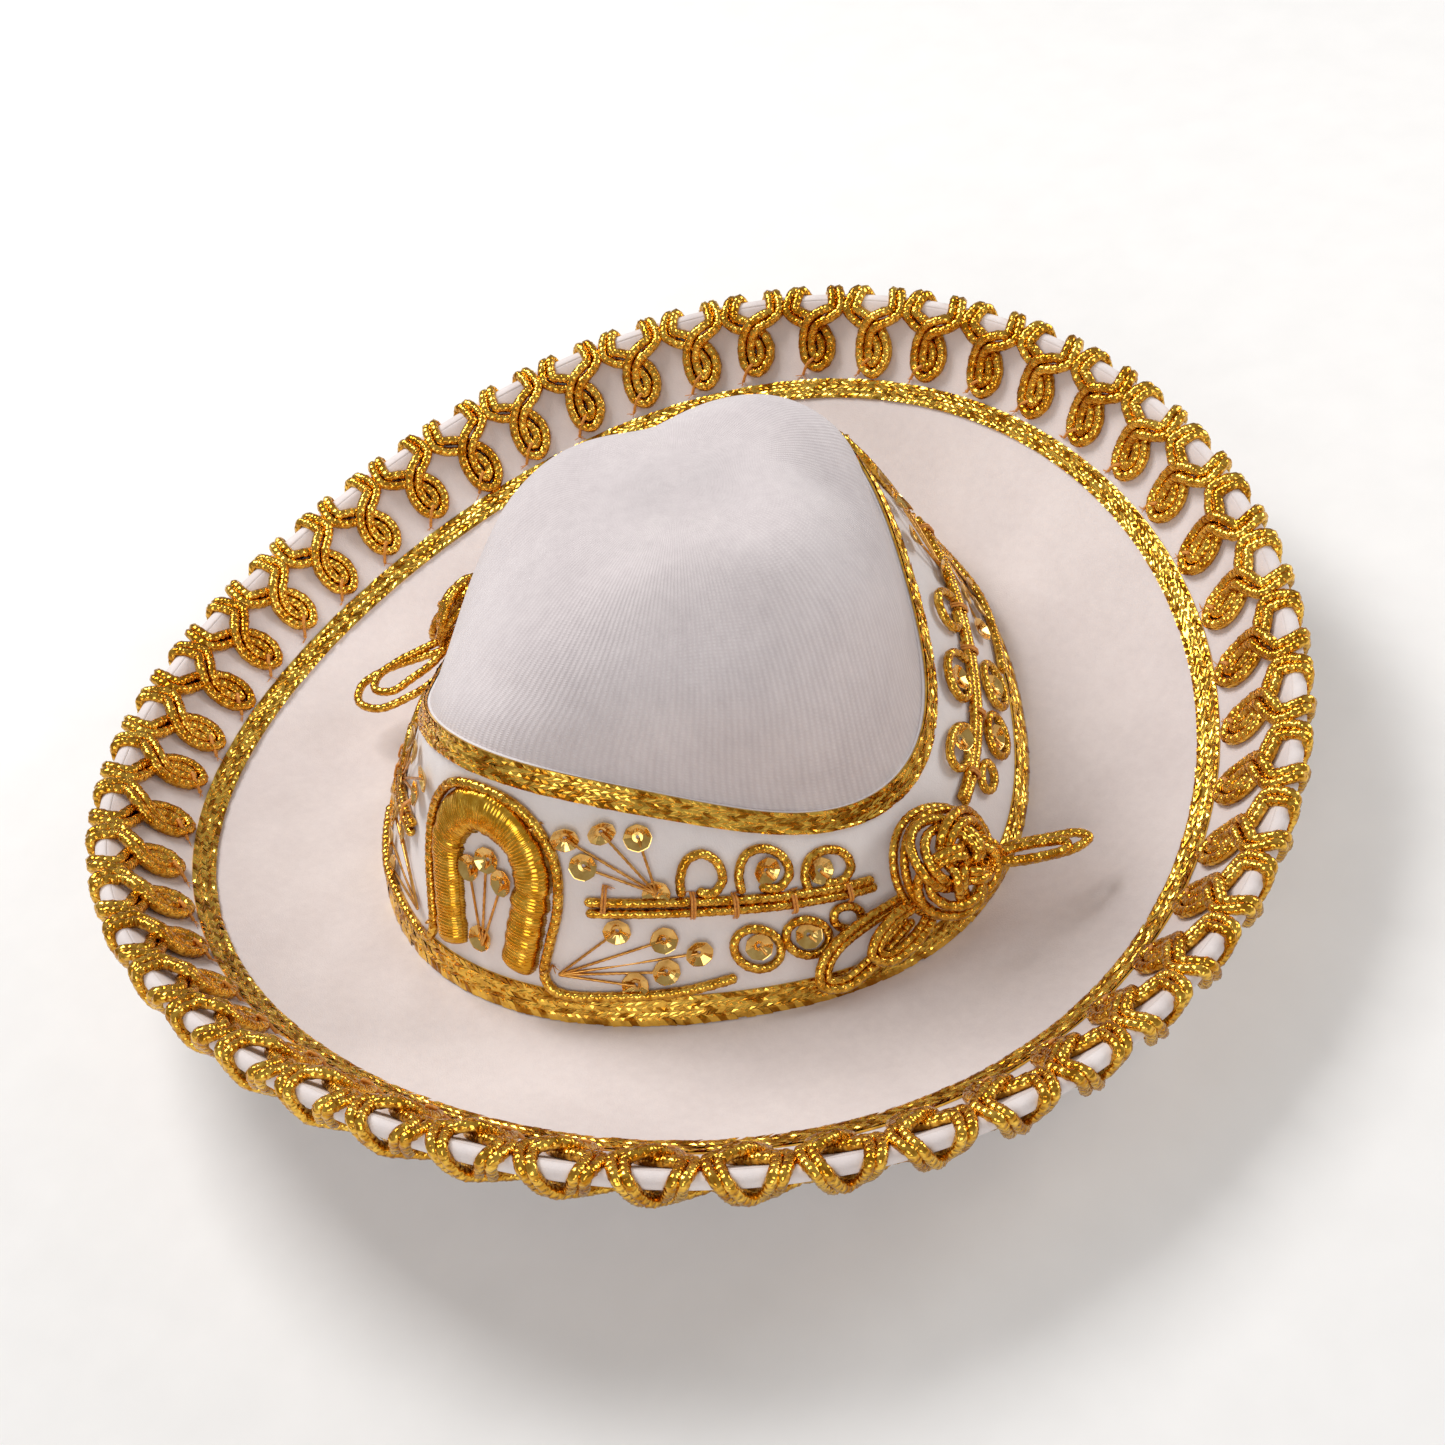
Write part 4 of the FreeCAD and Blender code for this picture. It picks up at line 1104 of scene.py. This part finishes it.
# Tail loops as (out from the hat, round it, up), where up is multiplied by TAIL_DROOP.
RIGHT_TAILS = [
    [(4, 10, -6), (7.5, 17, -7), (12, 24, -8.5), (16, 29, -9), (19, 29.5, -9), (19, 25, -9)],
    [(6.5, 10, -3), (9.5, 15.5, -4), (13, 20.5, -5), (16.5, 24, -6), (18, 22, -6), (15.5, 16.5, -5)],
]
RIGHT_TAILS[0] += [(15.5, 18, -8), (9, 10, -7)]
RIGHT_TAILS[1] += [(10, 10, -4)]
LEFT_TAILS = [
    [(0, 10, -6), (5, 18, -6), (11, 26, -7), (13, 34, -7), (9, 39, -7), (2, 38, -7), (-3, 31, -6)],
    [(3, 10, -3), (6, 17, -3), (9, 23, -4), (10, 30, -4), (7, 34, -4), (2, 32, -4), (0, 26, -3)],
]
LEFT_TAILS[0] += [(-5, 21, -6)]
LEFT_TAILS[1] += [(-1, 18, -3)]


def knot_frame():
    """Centre of the knot's ball, then the directions round the hat, up the band and out of it."""
    around, along, normal = crown.frame(KNOT_ANGLE, BAND_END * KNOT_UP)
    centre = crown.point(KNOT_ANGLE, BAND_END * KNOT_UP) + normal * (BAND + KNOT_DEEP * 0.97)
    return centre, around, along, normal


def knot_point(across, along, depth):
    """Point over the knot's ball: across and along run from -1 to 1, depth is mm off its face."""
    centre, around, up, normal = knot_frame()
    reach = math.hypot(across, along)
    rise = math.sqrt(max(1 - min(reach, 0.999) ** 2, 0.0))
    place = centre + around * across * (KNOT_ACROSS - 1.2) + up * along * (KNOT_ALONG - 1.2)
    return place + normal * (rise * (KNOT_DEEP - 1.6) + depth)


def add_knot(maker):
    """Ball of three-cord bands woven over and under, as in a turk's head knot."""
    leads = 3
    bights = 4
    turns = np.linspace(0, TURN * leads, 150, endpoint=False)
    for strand in (-1, 1):
        points = []
        for turn in turns:
            swing = math.cos(bights * turn / leads)
            reach = 0.55 + 0.33 * swing + strand * 0.088
            over = 1.5 * math.sin(2 * bights * turn / leads) + 0.6
            spin = turn + 0.5
            points.append(knot_point(reach * math.cos(spin), reach * math.sin(spin), over))
        add_cord_ring(maker, points, CORD * 0.56)
    for spin in np.linspace(0, TURN, 5, endpoint=False):
        points = []
        for part in (-1.0, -0.5, 0.0, 0.5, 1.0):
            reach = 0.32 * part
            points.append(knot_point(reach * math.cos(spin), reach * math.sin(spin), 0.2 - abs(part)))
        add_cord(maker, smooth_path(points, 0.4), CORD * 0.45)
    for level, size in ((-2.0, 0.93), (-4.6, 0.97)):
        points = []
        for turn in np.linspace(0, TURN, 16, endpoint=False):
            depth = level + 0.5 * math.sin(3 * turn)
            points.append(knot_point(size * math.cos(turn), size * math.sin(turn), depth))
        add_cord_ring(maker, points, CORD * 0.5)


def add_tails(maker, routes):
    centre, around, _, normal = knot_frame()
    outward = unit(np.array([normal[0], normal[1], 0.0]))
    for route in routes:
        points = []
        for out, back, up in route:
            points.append(centre + outward * out + around * back + np.array([0, 0, up * TAIL_DROOP]))
        points = [centre + around * 4.0] + points + [centre + around * 4.0 + outward]
        add_cord(maker, smooth_path(points, 0.5), CORD / 2)


def build_knots(quarter, gold):
    def leaf_loops(maker):
        add_leaf_loops(maker, quarter)

    build_pair(("right_knot", "left_knot"), gold, add_knot)
    build_pair(("right_leaf_loops", "left_leaf_loops"), gold, leaf_loops)
    for name, routes in (("right", RIGHT_TAILS), ("left", LEFT_TAILS)):
        maker = MeshMaker()
        add_tails(maker, routes)
        if name == "left":
            maker.turn_back()
        maker.build(name + "_tail_loops_work", gold, [name + "_tail_loops"])


# ---- build


def paint_node(name, material):
    """Give a CAD node that stays a material of its own."""
    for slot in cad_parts[name].material_slots:
        slot.link = "OBJECT"
        slot.material = material


build_camera()
build_studio()

brim_velvet = velvet_material("brim_velvet", (0.80, 0.725, 0.71), (0.70, 0.625, 0.615), False)
under_velvet = velvet_material("under_velvet", (0.82, 0.76, 0.75), (0.70, 0.63, 0.62), False)
crown_velvet = velvet_material("crown_velvet", (0.72, 0.655, 0.665), (0.58, 0.52, 0.535), True)
band_felt = velvet_material("band_felt", (0.86, 0.82, 0.82), (0.78, 0.735, 0.74), False)
lining_cloth = cloth_material("lining_cloth", (0.80, 0.76, 0.73), 0.9)
grosgrain = cloth_material("sweatband_grosgrain", (0.74, 0.70, 0.66), 0.5, 0.25)
# Foil colours: the bright gold, then dark, a painted dark reflection that is also the painted shade between
# plait strands.
ribbon_foil = foil_material("ribbon_foil", (1.0, 0.63, 0.10), (0.40, 0.16, 0.01), 0.1, 0.25, 0.0, 0.6)
cord_foil = foil_material("cord_foil", (1.0, 0.62, 0.10), (0.50, 0.20, 0.01), 0.1, 0.6, 1.9)
satin_foil = foil_material("satin_foil", (1.0, 0.62, 0.09), (0.66, 0.32, 0.02), 0.16, 0.4)
sequin_foil = foil_material("sequin_foil", (0.88, 0.60, 0.20), (0.70, 0.42, 0.11), 0.06, 0.05)
gilt_thread = foil_material("gilt_thread", (0.80, 0.44, 0.12), (0.50, 0.22, 0.04), 0.25, 0.4)
tack_thread = thread_material("tack_thread", (0.85, 0.36, 0.03), (0.52, 0.16, 0.01))

build_brim(brim_velvet, under_velvet)
build_crown(crown_velvet, band_felt, lining_cloth, grosgrain)
build_ribbons(ribbon_foil)
build_lacing(cord_foil, tack_thread)
front_to_right = Quarter(HORSESHOE_ANGLE, KNOT_ANGLE)
front_to_left = Quarter(HORSESHOE_ANGLE, KNOT_ANGLE - math.pi)
paints = (cord_foil, sequin_foil, gilt_thread, tack_thread)
build_horseshoes((front_to_right, front_to_left), satin_foil, paints)
build_quarter(front_to_right, ("front_right", "back_left"), paints)
build_quarter(front_to_left, ("front_left", "back_right"), paints)
build_knots(front_to_right, cord_foil)

paint_node("brim_board", plain_material("pressed_card", (0.62, 0.55, 0.45), 0.85))
paint_node("crown_shell", plain_material("buckram", (0.70, 0.66, 0.58), 0.85))
paint_node("brim_edge_wire", wire_material())
